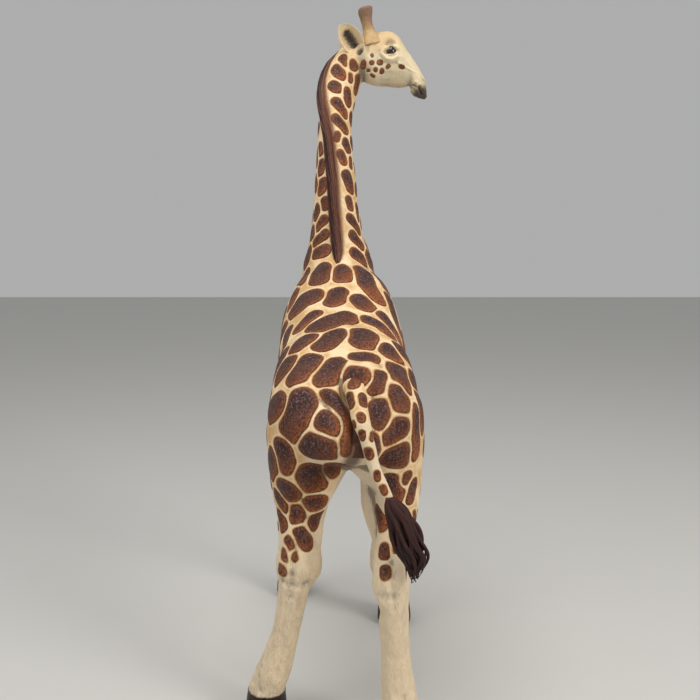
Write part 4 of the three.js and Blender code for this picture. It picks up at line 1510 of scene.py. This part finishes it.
class STATUE_OT_hair(bpy.types.Operator):
    """Models the mane, the tail's dock and its tuft"""

    bl_idname = "statue.hair"
    bl_label = "Mane and tail"

    def execute(self, context):
        colours = context.scene.statue_hair
        mane = hair_material("painted mane", tuple(colours.mane), tuple(colours.mane_dark),
                             tuple(colours.mane_crest), 0.5)
        tuft = hair_material("painted tuft", tuple(colours.tuft), (0.010, 0.005, 0.006),
                             tuple(colours.tuft_light), 0.55)
        coat = bpy.data.materials["painted coat"]
        put("mane_ridge", mane_mesh(), ("mane",), "mane_paint", mane)
        put("tail_skin", tail_mesh(), ("tail_dock",), "tail_paint", coat)
        put("tuft_locks", tuft_mesh(), ("tail_tuft",), "tuft_paint", tuft)
        return {"FINISHED"}

# ---------------------------------------------------------------- finishes of the kept CAD nodes


def steel_material():
    paint = Paint("drawn steel")
    streak = paint.noise(500, 3, stretch=(1, 1, 0.05))
    cloud = paint.noise(60, 3)
    colour = paint.mix(paint.step(0.45, 0.75, cloud), (0.42, 0.41, 0.39), (0.25, 0.20, 0.16))
    scratch = paint.bump(streak, 0.0002, 0.4)
    return paint.finish(Base_Color=colour, Metallic=0.95, Roughness=0.34 + cloud * 0.15, Normal=scratch)


def rubber_material():
    paint = Paint("foot rubber")
    speck = paint.noise(900, 3)
    cloud = paint.noise(80, 2)
    colour = paint.mix(paint.step(0.4, 0.7, cloud), (0.018, 0.017, 0.016), (0.045, 0.042, 0.038))
    pores = paint.bump(speck, 0.0003, 0.5)
    return paint.finish(Base_Color=colour, Roughness=0.82 + (speck - 0.5) * 0.1, Normal=pores)


class STATUE_OT_fittings(bpy.types.Operator):
    """Gives the armature rods, the tail's wire and the foot pads their finishes"""

    bl_idname = "statue.fittings"
    bl_label = "Rods and pads"

    def execute(self, context):
        steel, rubber = steel_material(), rubber_material()
        for name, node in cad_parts.items():
            if name.endswith(("_rod", "_wire", "_pad")):
                node.data.materials.clear()
                node.data.materials.append(rubber if name.endswith("_pad") else steel)
        return {"FINISHED"}

# ---------------------------------------------------------------- stage


class StageSettings(bpy.types.PropertyGroup):
    """Floor, light and camera."""

    floor: rgb("Floor", (0.60, 0.59, 0.57), "Plain pale floor")
    distance: bpy.props.FloatProperty(
        name="Camera distance", description="From the statue's middle, straight behind it",
        default=1.2, unit="LENGTH")
    height: bpy.props.FloatProperty(
        name="Camera height", description="Above the floor", default=0.62, unit="LENGTH")
    dip: bpy.props.FloatProperty(
        name="Camera dip", description="How far the camera looks down",
        default=math.radians(8.28), subtype="ANGLE")
    lens: bpy.props.FloatProperty(
        name="Lens", description="Focal length on a 36 mm sensor", default=46.3, unit="CAMERA")


def soft_light(name, place, turn, size, power, colour):
    lamp = bpy.data.lights.new(name, "AREA")
    lamp.shape = "RECTANGLE"
    lamp.size, lamp.size_y = size
    lamp.energy = power
    lamp.color = colour
    light = bpy.data.objects.new(name, lamp)
    light.location = place
    light.rotation_euler = [math.radians(angle) for angle in turn]
    bpy.context.scene.collection.objects.link(light)


# Each lamp: name, place, turn in degrees, size, power, colour.
LIGHTS = (
    ("overhead", (-0.3, -0.5, 2.3), (12, -8, 0), (1.4, 1.4), 26, (1.0, 0.98, 0.95)),
    ("key", (1.7, -1.5, 1.5), (62, 0, 48), (0.8, 1.0), 27, (1.0, 0.97, 0.93)),
    ("fill", (-1.9, -1.3, 1.1), (70, 0, -56), (1.2, 1.4), 6, (0.94, 0.97, 1.0)),
)
FLOOR_EDGE = 6.0           # metres from the middle


class STATUE_OT_stage(bpy.types.Operator):
    """Lays the floor, hangs the lights and sets the camera"""

    bl_idname = "statue.stage"
    bl_label = "Stage"

    def execute(self, context):
        settings = context.scene.statue_stage
        ground = np.array([(-1, -1, 0), (1, -1, 0), (1, 1, 0), (-1, 1, 0)]) * FLOOR_EDGE
        mesh = new_mesh("floor", ground, np.array([[0, 1, 2, 3]]))
        paint = Paint("floor")
        grain = paint.noise(9, 4)
        tint = paint.mix(grain * 0.12, tuple(settings.floor), (0.5, 0.49, 0.47))
        mesh.materials.append(paint.finish(Base_Color=tint, Roughness=0.75))
        floor = bpy.data.objects.new("floor", mesh)
        context.scene.collection.objects.link(floor)

        for lamp in LIGHTS:
            soft_light(*lamp)
        world = bpy.data.worlds.new("soft room")
        world.use_nodes = True
        world.node_tree.nodes["Background"].inputs["Color"].default_value = (0.80, 0.81, 0.80, 1)
        world.node_tree.nodes["Background"].inputs["Strength"].default_value = 0.52
        context.scene.world = world

        lens = bpy.data.cameras.new("camera")
        lens.lens = settings.lens
        lens.sensor_width = 36
        camera = bpy.data.objects.new("camera", lens)
        middle = (CAD_BOUNDS[0][0] + CAD_BOUNDS[1][0]) / 2
        camera.location = (middle + 0.0043, -settings.distance, settings.height)
        camera.rotation_euler = (math.radians(90) - settings.dip, 0, 0)
        context.scene.collection.objects.link(camera)
        context.scene.camera = camera
        context.scene.view_settings.view_transform = "Standard"
        return {"FINISHED"}

# ---------------------------------------------------------------- registration


class STATUE_PT_panel(bpy.types.Panel):
    """Shows the statue's operators and its colour and stage settings"""

    bl_idname = "STATUE_PT_panel"
    bl_label = "Giraffe statue"
    bl_space_type = "VIEW_3D"
    bl_region_type = "UI"
    bl_category = "Giraffe"

    def draw(self, context):
        for operator in OPERATORS:
            self.layout.operator(operator.bl_idname)
        for name, group in SETTINGS.items():
            box = self.layout.box()
            for key in group.__annotations__:
                box.prop(getattr(context.scene, name), key)


SETTINGS = {"statue_coat": CoatColours, "statue_hair": HairColours, "statue_stage": StageSettings}
OPERATORS = (STATUE_OT_stage, STATUE_OT_hide, STATUE_OT_head_pieces, STATUE_OT_hair, STATUE_OT_fittings)


def register():
    for group in (*SETTINGS.values(), *OPERATORS, STATUE_PT_panel):
        bpy.utils.register_class(group)
    for name, group in SETTINGS.items():
        setattr(bpy.types.Scene, name, bpy.props.PointerProperty(type=group))


def unregister():
    for name in SETTINGS:
        delattr(bpy.types.Scene, name)
    for group in reversed((*SETTINGS.values(), *OPERATORS, STATUE_PT_panel)):
        bpy.utils.unregister_class(group)


def main():
    register()
    for operator in OPERATORS:
        group, name = operator.bl_idname.split(".")
        getattr(getattr(bpy.ops, group), name)()


if __name__ == "__main__":
    main()
